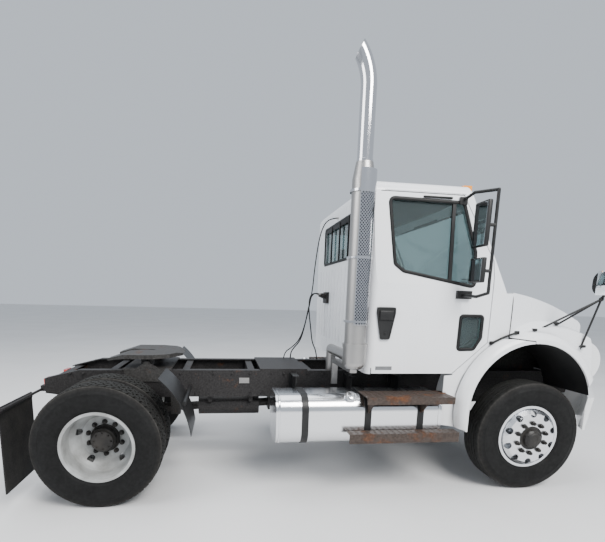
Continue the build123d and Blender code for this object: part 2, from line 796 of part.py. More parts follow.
# Quarter fenders ahead of the rear tyres, mudflaps behind them and the rods that carry the flaps
fender_arc_in = 748.0
fender_arc_out = 754.0
fender_y0 = 640.0
fender_y1 = 1190.0
with BuildPart() as quarter_fenders:
    for side, _ in SIDES:
        y0 = min(side * fender_y0, side * fender_y1)
        with BuildSketch(Plane.XZ.offset(-y0)):
            with BuildLine():
                a0 = radians(6)
                a1 = radians(49)
                am = (a0 + a1) / 2
                inner = [(rear_axle_x + fender_arc_in * cos(t), axle_z + fender_arc_in * sin(t)) for t in (a0, am, a1)]
                outer = [(rear_axle_x + fender_arc_out * cos(t), axle_z + fender_arc_out * sin(t)) for t in (a1, am, a0)]
                ThreePointArc(*inner)
                Line(inner[2], outer[0])
                ThreePointArc(*outer)
                Line(outer[2], inner[0])
            make_face()
        extrude(amount=-(fender_y1 - fender_y0))
        cross_rod(from_rear(690), axle_z + 345, side * (rail_y - 4), side * (fender_y1 - 60), 19)
        cross_rod(from_rear(690), axle_z + 345, side * rail_y, side * (rail_y - 4), 19.5, mode=Mode.SUBTRACT)
save(quarter_fenders.part, "quarter_fenders")

flap_x = from_rear(-700.0)
with BuildPart() as flaps:
    for side, _ in SIDES:
        box_at(flap_x - 8, flap_x + 2, side * 610, side * 1205, 150, 862)
save(flaps.part, "mudflaps")

with BuildPart() as flap_rods:
    for side, _ in SIDES:
        cross_rod(flap_x + 14, 845, side * 350, side * 1195, 12)
        box_at(flap_x + 6, rail_rear_x + 30, side * 352, side * (rail_y - rail_web), 826, 880)
        box_at(flap_x + 2, flap_x + 8, side * 612, side * 1195, 815, 858)

# Front bumper: a band with swept ends that leans back to its lower edge and clears the steered tyres
bumper_low = 590.0
bumper_high = 900.0
bumper_lean = (-0.17, 0.0, -0.985)
tyre_sweep = 622.0
bumper_front_x = front_axle_x + front_overhang
bumper_back_x = bumper_front_x - 50.0
with BuildPart() as bumper:
    with BuildSketch(Plane.XY.offset(bumper_high)) as profile:
        with BuildLine():
            Polyline(
                (bumper_front_x, -700), (bumper_front_x, 700), (from_front(600), 1190), (from_front(560), 1200),
                (from_front(540), 1184), (bumper_back_x, 682), (bumper_back_x, -682), (from_front(540), -1184),
                (from_front(560), -1200), (from_front(600), -1190), close=True,
            )
        make_face()
    extrude(profile.sketch, amount=(bumper_high - bumper_low) / -bumper_lean[2], dir=bumper_lean)
    for side, _ in SIDES:
        with Locations((front_axle_x, side * kingpin_y, bumper_low)):
            Cylinder(tyre_sweep, 500, mode=Mode.SUBTRACT)
save(bumper.part, "front_bumper")

# Brackets from the rails' ends to the bumper, with the bosses and pins that the bonnet tilts on
pin_y0 = 300.0
pin_y1 = 420.0
pin_radius = 12.0
pin_boss = 22.0
bracket_thick = 12.0
bracket_low = 790.0
bracket_high = 880.0
with BuildPart() as bracket_arms:
    for side, _ in SIDES:
        box_at(
            rail_front_x - 120, from_front(960), side * rail_y, side * (rail_y + bracket_thick), bracket_low,
            bracket_high,
        )
        box_at(rail_front_x, from_front(960), side * 330, side * rail_y, bracket_low, bracket_high)
        side_prism(
            (
                (rail_front_x + 10, bracket_high), (hinge_x, bracket_high), (hinge_x, hinge_z - 20),
                (hinge_x - 20, hinge_z), (rail_front_x + 10, hinge_z - 30),
            ),
            side * (pin_y1 - bracket_thick), side * pin_y1,
        )
        cross_rod(hinge_x, hinge_z, side * (pin_y1 - bracket_thick), side * pin_y1, pin_boss)
        cross_rod(hinge_x, hinge_z, side * pin_y0, side * (pin_y1 - bracket_thick), pin_radius)
brackets = bracket_arms.part - bumper.part

# Fifth wheel: a mount with two pivot stands on the rails and the slotted plate that rocks on it
fifth_x = from_rear(280.0)
fifth_pivot_z = 1085.0
fifth_top = 1180.0
fifth_plate_low = 1140.0
fifth_half = 457.0
fifth_stand_y = 400.0
fifth_pin_radius = 22.0
with BuildPart() as fifth_mount:
    box_at(fifth_x - 230, fifth_x + 230, -(rail_y + 8), rail_y + 8, rail_top, rail_top + 12)
    for side, _ in SIDES:
        box_at(fifth_x - 210, fifth_x + 210, side * rail_y, side * (rail_y + 12), rail_top - 110, rail_top + 12)
        y0 = side * (fifth_stand_y - 22)
        y1 = side * (fifth_stand_y + 22)
        side_prism(
            (
                (fifth_x - 110, rail_top + 12), (fifth_x + 110, rail_top + 12),
                (fifth_x + 30, fifth_pivot_z + 8), (fifth_x - 30, fifth_pivot_z + 8),
            ),
            y0, y1,
        )
        cross_rod(fifth_x, fifth_pivot_z, y0, y1, 33)
        cross_rod(fifth_x, fifth_pivot_z, side * (fifth_stand_y - 70), y0, fifth_pin_radius)
save(fifth_mount.part, "fifth_wheel_mount")

throat_half = 190.0
jaw_radius = 25.6
fifth_rear = from_rear(-102.0)
fifth_front = from_rear(600.0)
with BuildPart() as fifth_plate:
    with BuildSketch(Plane.XY.offset(1090)):
        with BuildLine():
            Polyline(
                (fifth_front, 150), (fifth_front, -150), (fifth_front - 110, -370), (fifth_front - 260, -fifth_half),
                (fifth_x - 200, -fifth_half), (fifth_x - 270, -400), (fifth_rear, -330), (fifth_rear, -throat_half),
                (fifth_x - 110, -jaw_radius), (fifth_x, -jaw_radius), (fifth_x, jaw_radius), (fifth_x - 110, jaw_radius),
                (fifth_rear, throat_half), (fifth_rear, 330), (fifth_x - 270, 400), (fifth_x - 200, fifth_half),
                (fifth_front - 260, fifth_half), (fifth_front - 110, 370), close=True,
            )
        make_face()
    extrude(amount=100)
    side_prism(
        (
            (fifth_rear - 5, 1000), (fifth_front + 5, 1000), (fifth_front + 5, fifth_plate_low),
            (from_rear(60), fifth_plate_low), (fifth_rear, 1106), (fifth_rear - 5, 1106),
        ),
        -500, 500, mode=Mode.SUBTRACT,
    )
    side_prism(
        (
            (fifth_rear - 5, 1128), (fifth_rear, 1128), (from_rear(70), fifth_top), (fifth_front - 60, fifth_top),
            (fifth_front + 5, 1162), (fifth_front + 5, 1250), (fifth_rear - 5, 1250),
        ),
        -500, 500, mode=Mode.SUBTRACT,
    )
    with Locations((fifth_x, 0, fifth_plate_low - 20)):
        Cylinder(95, 40, align=(Align.CENTER, Align.CENTER, Align.MIN))
    with Locations((fifth_x, 0, 1090)):
        Cylinder(jaw_radius, 200, mode=Mode.SUBTRACT)
    plan_prism(
        (
            (fifth_rear - 5, -throat_half), (fifth_x - 110, -jaw_radius), (fifth_x, -jaw_radius),
            (fifth_x, jaw_radius), (fifth_x - 110, jaw_radius), (fifth_rear - 5, throat_half),
        ),
        1000, 1300, mode=Mode.SUBTRACT,
    )
    for side, _ in SIDES:
        y0 = side * (fifth_stand_y - 62)
        y1 = side * (fifth_stand_y - 30)
        box_at(fifth_x - 60, fifth_x + 60, y0, y1, fifth_pivot_z, fifth_plate_low + 5)
        cross_rod(fifth_x, fifth_pivot_z, y0, y1, 42)
        cross_rod(fifth_x, fifth_pivot_z, y0 - 2 * side, y1 + 2 * side, fifth_pin_radius + seat_gap, mode=Mode.SUBTRACT)
save(fifth_plate.part, "fifth_wheel_plate")


def cab_envelope(inset):
    """The cab's outer form shrunk by inset on every side."""
    rake = radians(screen_rake)
    shift = inset / cos(rake) - inset * tan(rake)
    base = cab_sill + inset
    half = cab_half - inset
    back = cab_back_x + inset
    corner = max(70.0 - inset, 12.0)
    top = roof_crown - inset
    far = front_axle_x + 400.0
    with BuildPart() as block:
        with BuildSketch(Plane.XY.offset(base)):
            with BuildLine():
                Line((far, -half), (back + corner, -half))
                ThreePointArc(
                    (back + corner, -half), (back + corner * 0.2929, -half + corner * 0.2929), (back, -half + corner)
                )
                Line((back, -half + corner), (back, half - corner))
                ThreePointArc(
                    (back, half - corner), (back + corner * 0.2929, half - corner * 0.2929), (back + corner, half)
                )
                Polyline((back + corner, half), (far, half), (far, -half))
            make_face()
        extrude(amount=roof_crown + 200 - base)
    with BuildPart() as screen:
        for z, side_x, middle_x, lean in (
            (base, cowl_side_x - inset, cowl_middle_x - inset, 0.0),
            (cowl_top - inset, screen_side_x - shift, screen_middle_x - shift, rake),
        ):
            with BuildSketch(Plane.XY.offset(z)):
                with BuildLine():
                    ThreePointArc((side_x, -cab_half), (middle_x, 0), (side_x, cab_half))
                    Polyline(
                        (side_x, cab_half), (cab_back_x - 900, cab_half), (cab_back_x - 900, -cab_half),
                        (side_x, -cab_half),
                    )
                make_face()
            if lean:
                extrude(amount=1100 / cos(lean), dir=(-sin(lean), 0, cos(lean)))
            else:
                extrude(amount=cowl_top - inset - base)
    with BuildPart() as side_view:
        with BuildSketch(Plane.XZ.offset(-half)):
            with BuildLine():
                Polyline((from_front(300), base), (back, base), (back, top - 120))
                ThreePointArc((back, top - 120), (back + 34, top - 48), (back + 120, top - 22))
                Line((back + 120, top - 22), (from_front(-700), top))
                ThreePointArc((from_front(-700), top), (from_front(-636), top - 20), (from_front(-585), top - 75))
                Line((from_front(-585), top - 75), (from_front(300), base))
            make_face()
        extrude(amount=2 * half)
    with BuildPart() as front_view:
        with BuildSketch(Plane.YZ.offset(cab_back_x - 10)):
            with BuildLine():
                high = roof_crown - 55.0 - inset
                Polyline((0, base), (half, base), (half, cab_belt), (half - 45, cab_gutter - 12 - inset))
                ThreePointArc((half - 45, cab_gutter - 12 - inset), (half - 72, high - 36), (half - 160, high))
                ThreePointArc((half - 160, high), (0, high + 58), (160 - half, high))
                ThreePointArc((160 - half, high), (72 - half, high - 36), (45 - half, cab_gutter - 12 - inset))
                Polyline((45 - half, cab_gutter - 12 - inset), (-half, cab_belt), (-half, base), (0, base))
            make_face()
        extrude(amount=2200)
    return block.part & screen.part & side_view.part & front_view.part


def outline_prism(points, grow=0.0, soften=0.0):
    """A side outline of (x ahead of the front axle, z) points, grown or rounded, right across the truck."""
    with BuildPart() as prism:
        with BuildSketch(Plane.XZ.offset(-wide)):
            with BuildLine():
                Polyline(*[(from_front(x), z) for x, z in points], close=True)
            make_face()
            if grow:
                offset(amount=grow, kind=Kind.INTERSECTION)
            if soften:
                fillet(vertices(), soften)
        extrude(amount=2 * wide)
    return prism.part


def arch_prism(radius, y0, y1):
    """The round of the wheel arch with straight sides below it."""
    with BuildPart() as arch:
        cross_rod(from_front(arch_x), arch_z, y0, y1, radius)
        box_at(from_front(arch_x) - radius, from_front(arch_x) + radius, y0, y1, 400, arch_z)
    return arch.part


# Cab: one shell from its outer and inner forms, split where the panels meet
wide = wing_half + 85.0
inner_half = cab_half - cab_wall
outer_form = cab_envelope(0.0)
inner_form = cab_envelope(cab_wall)
shell = outer_form - inner_form
pane_form = cab_envelope(glass_depth) - cab_envelope(glass_depth + glass_thickness)
trim_form = outer_form - cab_envelope(glass_depth)
x_min = cab_back_x - 50
x_mid = cab_back_x + cab_wall
x_max = front_axle_x + 100
floor_top = cab_sill + cab_wall
door_low = cab_sill + 6.0
door_outline = (
    (-1560, door_low), (-1560, cab_gutter - 20), (-819, cab_gutter - 20), (-505, 2112), (-490, 1980), (-490, 1400),
    (-805, door_low),
)
window_outline = (
    (-1474, cab_gutter - 70), (-815, cab_gutter - 80), (-682, 2182), (-668, 1886), (-1325, 2003), (-1404, 2060),
)
peep_outline = ((-765, 1632), (-560, 1632), (-560, 1440), (-620, 1340), (-768, 1335))
wheelhouse_cut = arch_radius + liner_thick + 1.0
wheelhouse = arch_prism(wheelhouse_cut, wheelhouse_y, wide) + arch_prism(wheelhouse_cut, -wide, -wheelhouse_y)

# Floor, notched beside the doors, with a wall at the inner side of each wheel house
floor_plate = (shell & slab(x_min, x_max, -inner_half, inner_half, cab_sill - 1, floor_top)) - wheelhouse
floor_walls = []
for side, _ in SIDES:
    door_side = slab(x_min, x_max, side * (inner_half - door_gap), side * wide, 0, cab_belt)
    floor_plate = floor_plate - (outline_prism(door_outline, door_gap) & door_side)
    y0 = side * (wheelhouse_y - liner_thick)
    y1 = side * wheelhouse_y
    floor_walls.append(
        arch_prism(wheelhouse_cut, y0, y1) & inner_form & slab(x_mid, x_max, y0, y1, floor_top, cab_belt)
    )
floor_solids = [solid for part in (floor_plate, *floor_walls) for solid in part.solids()]
save(Compound(children=floor_solids), "cab_floor")

roof_part = shell & slab(x_min, x_max, -wide, wide, cab_gutter, roof_crown + 100)
save(roof_part, "cab_roof")

# Back wall with its window and the pressed ribs below it
rib_half = 12.0
rib_high = 8.0
rib_pitch = 140.0
rear_window_hole = slab(x_min, x_mid + 20, -680, 680, 2156, cab_gutter - 100)
back_region = slab(x_min, x_mid, -wide, wide, floor_top, cab_gutter)
with BuildPart() as ribs:
    for i in range(-6, 7):
        y = i * rib_pitch
        box_at(cab_back_x - rib_high, cab_back_x + 1, y - rib_half, y + rib_half, 1300, 2080)
back_wall = ((shell & back_region) - rear_window_hole) + ribs.part
save(back_wall, "cab_back_wall")
rear_window = pane_form & back_region & rear_window_hole

# Windscreen frame with the cowl below it
front_region = slab(x_mid, x_max, -pillar_y, pillar_y, floor_top, cab_gutter)
with BuildPart() as screen_cut:
    with BuildSketch(Plane.YZ.offset(x_mid + 600)):
        with BuildLine():
            Polyline(
                (50 - pillar_y, 1905), (pillar_y - 50, 1905), (pillar_y - 92, cab_gutter - 92),
                (92 - pillar_y, cab_gutter - 92), close=True,
            )
        make_face()
        fillet(vertices(), 60)
    extrude(amount=1200)
save((shell & front_region) - screen_cut.part - wheelhouse, "windscreen_frame")
windscreen = pane_form & front_region & screen_cut.part
save(Compound(children=[*windscreen.solids(), *rear_window.solids()]), "cab_windows")

# Doors with their glass, and the side pillars round them
bar_x = (from_front(-915), from_front(-885))
cab_sides = []
window_bars = {}
for side, label in SIDES:
    y0 = side * pillar_y
    y1 = side * wide
    upper = slab(x_mid, x_max, y0, y1, floor_top, cab_gutter)
    lower = slab(x_min, x_max, side * inner_half, y1, cab_sill - 1, floor_top)
    wall = (shell & upper) + (shell & lower)
    door_hole = outline_prism(door_outline, door_gap)
    cab_sides += (wall - door_hole - wheelhouse).solids()
    door = wall & outline_prism(door_outline)
    holes = outline_prism(window_outline, 0.0, 40.0)
    window_bars[side] = trim_form & holes & slab(bar_x[0], bar_x[1], y0, y1, cab_belt, cab_gutter)
    if side < 0:
        holes = holes + outline_prism(peep_outline, 0.0, 25.0)
    save(door - holes, f"door_{label}")
    save(pane_form & upper & holes, f"door_glass_{label}")
save(Compound(children=cab_sides), "cab_sides")


def flare_form(inset):
    """The wheel arch's flare: round the arch's axis, full width at the arch, flush with the cab further out."""
    half = wing_half - inset
    base = wing_flush - inset
    lip = 640.0
    fade = 60.0
    far = 2200.0
    with BuildPart() as form:
        with BuildSketch(Plane(origin=(from_front(arch_x), 0, arch_z), x_dir=(1, 0, 0), z_dir=(0, 0, 1))):
            with BuildLine():
                Polyline((lip, -half), (0, -half), (0, half), (lip, half))
                ThreePointArc((lip, half), (lip + 0.72 * fade, half - 0.28 * (half - base)), (lip + fade, base))
                Polyline((lip + fade, base), (far, base), (far, -base), (lip + fade, -base))
                ThreePointArc((lip + fade, -base), (lip + 0.72 * fade, 0.28 * (half - base) - half), (lip, -half))
            make_face()
        revolve(axis=Axis((from_front(arch_x), 0, arch_z), (0, 1, 0)))
    return form.part


# The wing behind the wheel stays on the cab and carries the rear half of the wheel house's liner
rear_wing = (
    (-875, 640), (-600, 600), (-100, 900), (-100, 1420), (-290, 1440), (-470, 1428), (-480, 1394), (-800, 1102),
    (-875, 1098),
)
liner_outline = ((-700, 600), (-600, 600), (-100, 900), (-100, 1432), (-700, 1432))
liner_split = -100.0
rear_wings = []
for side, _ in SIDES:
    y_in = side * wheelhouse_y
    y_cab = side * cab_half
    y_out = side * wide
    flare_skin = flare_form(0.0) - flare_form(hood_skin)
    skin = (outline_prism(rear_wing) - arch_prism(arch_radius, -wide, wide)) & flare_skin
    skin = skin & slab(from_front(-900), front_axle_x, y_cab, y_out, 500, 1500)
    skin = skin - slab(from_front(-900), upper_step[1] + 5, y_cab, y_out, plate_low - 5, plate_high + 5)
    liner = arch_prism(arch_radius + liner_thick, y_in, y_out)
    liner = liner - arch_prism(arch_radius, y_in - side, y_out + side)
    liner = liner & flare_form(0.0) & outline_prism(liner_outline)
    rear_wings += (skin + liner).solids()
save(Compound(children=rear_wings), "rear_wings")


def crown_form(inset):
    """The wings' crown: round a low axis across the truck, falling off towards its outer edges."""
    crown_axis = (from_front(130), 0, 600)
    with BuildPart() as form:
        with BuildSketch(Plane(origin=crown_axis, x_dir=(1, 0, 0), z_dir=(0, 0, 1))):
            edge = (880 - 0.79 * inset, 1225 - 0.61 * inset)
            middle = (950 - 0.943 * inset, 1090 - 0.332 * inset)
            crown = (995 - 0.988 * inset, 900 - 0.152 * inset)
            with BuildLine():
                Polyline((edge[0], -edge[1]), (edge[0], -wide), (0, -wide), (0, wide), (edge[0], wide), edge)
                ThreePointArc(edge, middle, crown)
                Line(crown, (crown[0], -crown[1]))
                ThreePointArc((crown[0], -crown[1]), (middle[0], -middle[1]), (edge[0], -edge[1]))
            make_face()
        revolve(axis=Axis(crown_axis, (0, 1, 0)))
    return form.part


def nose_form(inset, side):
    """One side of the slanted nose: an outline at the wing's flank carried inwards and forwards."""
    start_y = 1400.0
    slant = 0.692
    back = 1.22 * inset + slant * (start_y - 1100.0)
    length = 2 * start_y * sqrt(1 + slant**2)
    with BuildPart() as form:
        with BuildSketch(Plane.XZ.offset(-side * start_y)) as profile:
            with BuildLine():
                Polyline(*[(from_front(x) - back, z) for x, z in ((567, 1404), (510, 1533), (395, 1600), (150, 1690))])
                Polyline(
                    *[
                        (from_front(x) - back, z)
                        for x, z in ((150, 1690), (-3000, 2300), (-3000, 700), (520, 700), (560, 960), (614, 1072))
                    ]
                )
                ThreePointArc(*[(from_front(x) - back, z) for x, z in ((614, 1072), (685, 1198), (567, 1404))])
            make_face()
        extrude(profile.sketch, amount=length, dir=(slant, -side, 0))
    return form.part


# Bonnet: a tapering centre and two wings, one skin, open below and behind
def hood_form(inset, low):
    """The bonnet's outer form shrunk by inset, its lower side at low."""
    half_rear = wing_flush - inset
    half_nose = 575.0 - inset
    nose = from_front(962) - inset
    rear = from_front(-420)
    with BuildPart() as middle_plan:
        with BuildSketch(Plane.XY.offset(low)):
            with BuildLine():
                Polyline((rear, half_rear + 30), (from_front(-340), half_rear), (nose - 90, half_nose))
                ThreePointArc((nose - 90, half_nose), (nose - 24, half_nose - 42), (nose, half_nose - 130))
                Line((nose, half_nose - 130), (nose, 130 - half_nose))
                ThreePointArc((nose, 130 - half_nose), (nose - 24, 42 - half_nose), (nose - 90, -half_nose))
                Polyline(
                    (nose - 90, -half_nose), (from_front(-340), -half_rear), (rear, -half_rear - 30),
                    (rear, half_rear + 30),
                )
            make_face()
        extrude(amount=2000 - low)
    with BuildPart() as middle_side:
        with BuildSketch(Plane.XZ.offset(-wide)):
            with BuildLine():
                Line((rear, low), (rear, 1852 - inset))
                Line((rear, 1852 - inset), (from_front(-270), 1846 - inset))
                ThreePointArc(
                    (from_front(-270), 1846 - inset), (from_front(300), 1752 - inset), (from_front(800), 1602 - inset)
                )
                ThreePointArc(
                    (from_front(800), 1602 - inset), (from_front(898) - inset / 2, 1552 - inset),
                    (from_front(946) - inset, 1456),
                )
                Polyline((from_front(946) - inset, 1456), (nose, low), (rear, low))
            make_face()
        extrude(amount=2 * wide)
    wing_nose = from_front(956) - inset
    with BuildPart() as wing_plan:
        with BuildSketch(Plane.XY.offset(low)):
            with BuildLine():
                Polyline((wing_nose, -490), (wing_nose, 490))
                ThreePointArc((wing_nose, 490), (wing_nose - 8, 610), (wing_nose - 31, 720))
                Polyline(
                    (wing_nose - 31, 720), (from_front(700), wide), (rear, wide), (rear, -wide),
                    (from_front(700), -wide), (wing_nose - 31, -720),
                )
                ThreePointArc((wing_nose - 31, -720), (wing_nose - 8, -610), (wing_nose, -490))
            make_face()
        extrude(amount=2000 - low)
    wings = wing_plan.part & crown_form(inset) & flare_form(inset) & nose_form(inset, 1) & nose_form(inset, -1)
    return (middle_plan.part & middle_side.part) + wings


# The bonnet's rear edge follows the cowl and then runs round the rear wing
with BuildPart() as cowl_clear:
    with BuildSketch(Plane.XY.offset(500)):
        with BuildLine():
            ThreePointArc(
                (cowl_side_x + hood_gap, -cab_half), (cowl_middle_x + hood_gap, 0), (cowl_side_x + hood_gap, cab_half)
            )
            Polyline(
                (cowl_side_x + hood_gap, cab_half), (cowl_side_x + hood_gap, wide), (from_front(-600), wide),
                (from_front(-600), -wide), (cowl_side_x + hood_gap, -wide), (cowl_side_x + hood_gap, -cab_half),
            )
        make_face()
    extrude(amount=1600)
hood_outer = hood_form(0.0, hood_bottom)
hood_skin_form = hood_outer - hood_form(hood_skin, hood_bottom - 200) - cowl_clear.part
hood_skin_form = hood_skin_form - arch_prism(arch_radius, -wide, wide) - outline_prism(rear_wing, hood_gap)

# Headlamps wrap round the nose's corners; the grille fills a hole in its front
lamp_outline = ((567, 1400), (612, 1090), (830, 1130), (815, 1340))
lamp_sides = slab(front_axle_x, from_front(900), 700, wide, 1000, 1500) + slab(
    front_axle_x, from_front(900), -wide, -700, 1000, 1500
)
lamps = hood_skin_form & outline_prism(lamp_outline) & lamp_sides
save(lamps, "headlamps")
grille_half = 400.0
grille_low = 1010.0
grille_high = 1430.0
grille_hole = slab(from_front(900), from_front(1000), -grille_half, grille_half, grille_low, grille_high)

with BuildPart() as hinge_lugs:
    for side, _ in SIDES:
        y0 = side * (pin_y0 + 20)
        y1 = side * (pin_y1 - 40)
        box_at(hinge_x - 30, from_front(950), y0, y1, hinge_z - 8, hinge_z + 40)
        cross_rod(hinge_x, hinge_z, y0, y1, 20)
    for side, _ in SIDES:
        cross_rod(
            hinge_x, hinge_z, side * (pin_y0 + 10), side * (pin_y1 - 30), pin_radius + seat_gap, mode=Mode.SUBTRACT,
        )
hood_shell = (hood_skin_form - lamps - grille_hole) + (hinge_lugs.part & hood_form(hood_skin, hood_bottom - 200))
for side, _ in SIDES:
    y_in = side * wheelhouse_y
    y_out = side * wide
    liner = arch_prism(arch_radius + liner_thick, y_in, y_out)
    liner = liner - arch_prism(arch_radius, y_in - side, y_out + side)
    liner = liner & hood_outer & slab(from_front(liner_split + hood_gap), from_front(560), y_in, y_out, 0, 2000)
    liner = liner - outline_prism(rear_wing, hood_gap) - lamps - cowl_clear.part
    hood_shell = hood_shell + liner
save(hood_shell, "hood")

with BuildPart() as grille:
    box_at(from_front(936), from_front(956), -grille_half, grille_half, grille_low, grille_high)
    box_at(
        from_front(930), from_front(960), 22 - grille_half, grille_half - 22, grille_low + 22, grille_high - 22,
        mode=Mode.SUBTRACT,
    )
    for i in range(9):
        z = grille_low + 50 + i * 40
        box_at(from_front(938), from_front(954), -grille_half + 10, grille_half - 10, z, z + 12)
save(grille.part, "grille")

# Mirrors on the bonnet: an oval head on three legs
mirror_legs = ((-38, 1090, 1515), (211, 1050, 1575), (457, 1120, 1373))
leg_radius = 9.0
with BuildPart() as hood_mirrors:
    for side, _ in SIDES:
        joint = (from_front(500), side * 1200, 1809)
        for x, y, z in mirror_legs:
            rod_between((from_front(x), side * (y - 25), z - 25), joint, leg_radius)
        with Locations(joint):
            Sphere(20)
        rod_between(joint, (from_front(520), side * 1225, 1880), 12)
        with BuildSketch(Plane(origin=(from_front(480), side * 1230, 1951), z_dir=(1, 0, 0))) as head:
            RectangleRounded(200, 264, 80)
        extrude(head.sketch, amount=80)
save(hood_mirrors.part - hood_outer, "hood_mirrors")

# Mirrors on the doors: a bent tube with a flat head above a wide-angle one, and the pull handle
tube_y = cab_half + 277.0
tube_radius_door = 13.0
head_y = (cab_half + 100.0, cab_half + 288.0)
tube = (
    (-828, cab_half - 45, 2600), (-800, cab_half + 85, 2640), (-712, tube_y, 2626), (-710, tube_y, 1830),
    (-760, cab_half + 195, 1800), (-790, cab_half - 5, 1813),
)
handle_outline = ((-1543, 1692), (-1378, 1692), (-1378, 1640), (-1420, 1418), (-1500, 1418), (-1543, 1640))
for side, label in SIDES:
    points = [(from_front(x), side * y, z) for x, y, z in tube]
    with BuildPart() as mirror:
        for start, end in zip(points, points[1:]):
            rod_between(start, end, tube_radius_door)
            with Locations(end):
                Sphere(tube_radius_door)
        for low, high, z in ((2200, 2548, 2360), (1916, 2108, 2005)):
            box_at(from_front(-790), from_front(-762), side * head_y[0], side * head_y[1], low, high)
            rod_between((from_front(-770), side * tube_y, z), (from_front(-711), side * tube_y, z), 14)
        box_at(from_front(-835), from_front(-700), side * (cab_half - 10), side * (cab_half + 30), 1780, 1850)
    with BuildPart() as handle:
        side_prism(
            [(from_front(x), z) for x, z in handle_outline], side * (cab_half - 15), side * (cab_half + 15),
        )
    with BuildPart() as knuckle_top:
        box_at(from_front(-862), from_front(-795), side * (cab_half - 90), side * (cab_half - 20), 2565, 2625)
    fittings = [
        *(mirror.part + knuckle_top.part - outer_form).solids(), *(handle.part - outer_form).solids(),
        *window_bars[side].solids(),
    ]
    save(Compound(children=fittings), f"door_fittings_{label}")

# Lamps on the roof's front edge and at the frame's tail
with BuildPart() as roof_lamps:
    for y, drop in ((-800.0, 40.0), (-160.0, 0.0), (0.0, 0.0), (160.0, 0.0), (800.0, 40.0)):
        z = roof_crown - drop
        box_at(from_front(-720), from_front(-630), y - 45, y + 45, z - 80, z + 27)
    fillet(roof_lamps.edges().filter_by(Axis.Z), 20)
save(roof_lamps.part - outer_form, "roof_lamps")

with BuildPart() as tail_lamps:
    for side, _ in SIDES:
        box_at(rail_rear_x - 46, rail_rear_x - 10, side * 200, side * 330, 820, 930)
        box_at(rail_rear_x - 38, rail_rear_x - 18, side * 325, side * 350, 840, 872)
save(tail_lamps.part, "tail_lamps")

# Inside the cab: dashboard, steering column and wheel, two seats
dash_rear = from_front(-560)
with BuildPart() as dash:
    side_prism(
        (
            (dash_rear, 1650), (from_front(-500), 1820), (from_front(-400), 1826), (from_front(-360), 1700),
            (from_front(-420), 1400), (dash_rear + 30, 1450),
        ),
        135 - cab_half, cab_half - 135,
    )
    box_at(from_front(-460), from_front(-150), 195 - cab_half, cab_half - 195, 1500, 1600)
save(dash.part & inner_form, "dashboard")

seat_y = 480.0
wheel_centre = (from_front(-700), seat_y, 1760.0)
with BuildPart() as steering:
    rod_between((wheel_centre[0] + 10, seat_y, 1755), (dash_rear + 20, seat_y, 1610), 28)
    with Locations(Plane(origin=wheel_centre, z_dir=(-0.72, 0, 0.69))):
        Torus(218, 15)
        Box(420, 36, 12)
        Box(36, 420, 12)
        Cylinder(60, 30)
save(steering.part - (dash.part & inner_form), "steering_wheel")

with BuildPart() as seats:
    for side, _ in SIDES:
        y = side * seat_y
        box_at(from_front(-1330), from_front(-1010), y - 180, y + 180, floor_top, 1420)
        box_at(from_front(-1400), from_front(-900), y - 250, y + 250, 1420, 1560)
        side_prism(
            ((from_front(-1400), 1500), (from_front(-1290), 1560), (from_front(-1400), 2180), (from_front(-1500), 2180)),
            y - 240, y + 240,
        )
        box_at(from_front(-1500), from_front(-1420), y - 130, y + 130, 2180, 2330)
save(seats.part, "seats")

# Cab feet on the rails and the holder for the trailer's lines on the back wall
with BuildPart() as cab_mounts:
    for side, _ in SIDES:
        for x in (-1450.0, -420.0):
            box_at(from_front(x) - 60, from_front(x) + 60, side * 345, side * rail_y, rail_top, cab_sill)
bracket_solids = [*brackets.solids(), *flap_rods.part.solids(), *cab_mounts.part.solids()]
save(Compound(children=bracket_solids), "frame_brackets")

with BuildPart() as holder:
    box_at(cab_back_x - 30, cab_back_x, 380, 560, 1700, 1830)
    for y in (420.0, 520.0):
        rod_between((cab_back_x - 20, y, 1770), (cab_back_x - 90, y, 1800), 24)
save(holder.part - back_wall, "line_holder")
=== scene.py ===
# %% [markdown]
# # A worn road tractor with a day cab
# The construction of the truck is a fixed frame that is loaded first. This file dresses it: every surface
# gets its finish, and the pieces that a plain solid can't show, such as tyre tread, hoses and pierced metal,
# are modelled here and set where the frame says.

# %% Load the frame
import json
import math

import bmesh
import bpy
from mathutils import Matrix, Vector


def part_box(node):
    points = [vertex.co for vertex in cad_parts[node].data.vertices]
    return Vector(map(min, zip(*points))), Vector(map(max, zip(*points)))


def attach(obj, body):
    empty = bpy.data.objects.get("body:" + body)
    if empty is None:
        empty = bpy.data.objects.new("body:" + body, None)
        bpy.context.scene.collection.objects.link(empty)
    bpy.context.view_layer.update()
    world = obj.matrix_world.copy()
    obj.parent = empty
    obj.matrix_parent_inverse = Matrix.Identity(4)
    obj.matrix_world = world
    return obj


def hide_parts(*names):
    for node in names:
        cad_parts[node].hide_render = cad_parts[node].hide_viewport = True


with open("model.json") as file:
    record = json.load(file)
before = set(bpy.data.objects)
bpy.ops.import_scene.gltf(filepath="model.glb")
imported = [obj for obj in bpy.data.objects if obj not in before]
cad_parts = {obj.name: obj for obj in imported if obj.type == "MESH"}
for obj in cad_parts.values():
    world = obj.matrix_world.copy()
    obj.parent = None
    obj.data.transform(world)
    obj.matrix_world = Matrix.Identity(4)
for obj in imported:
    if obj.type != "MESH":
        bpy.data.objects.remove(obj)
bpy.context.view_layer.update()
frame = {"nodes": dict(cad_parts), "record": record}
nodes = frame["nodes"]

# %% [markdown]
# ## Places on the truck
# Sizes on a truck are best read from its axles, so two helpers turn such a distance into a place in the
# frame. Heights are measured from the ground and widths from the truck's middle. Most pieces come in pairs:
# the right side has the sign -1 and the left side 1.


# %% Axles and sides
def middle_of(node):
    """The middle of a node of the frame."""
    low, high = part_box(node)
    return (low + high) / 2


def rear(x):
    """A place given in metres ahead of the rear axle."""
    return rear_axle.x + x


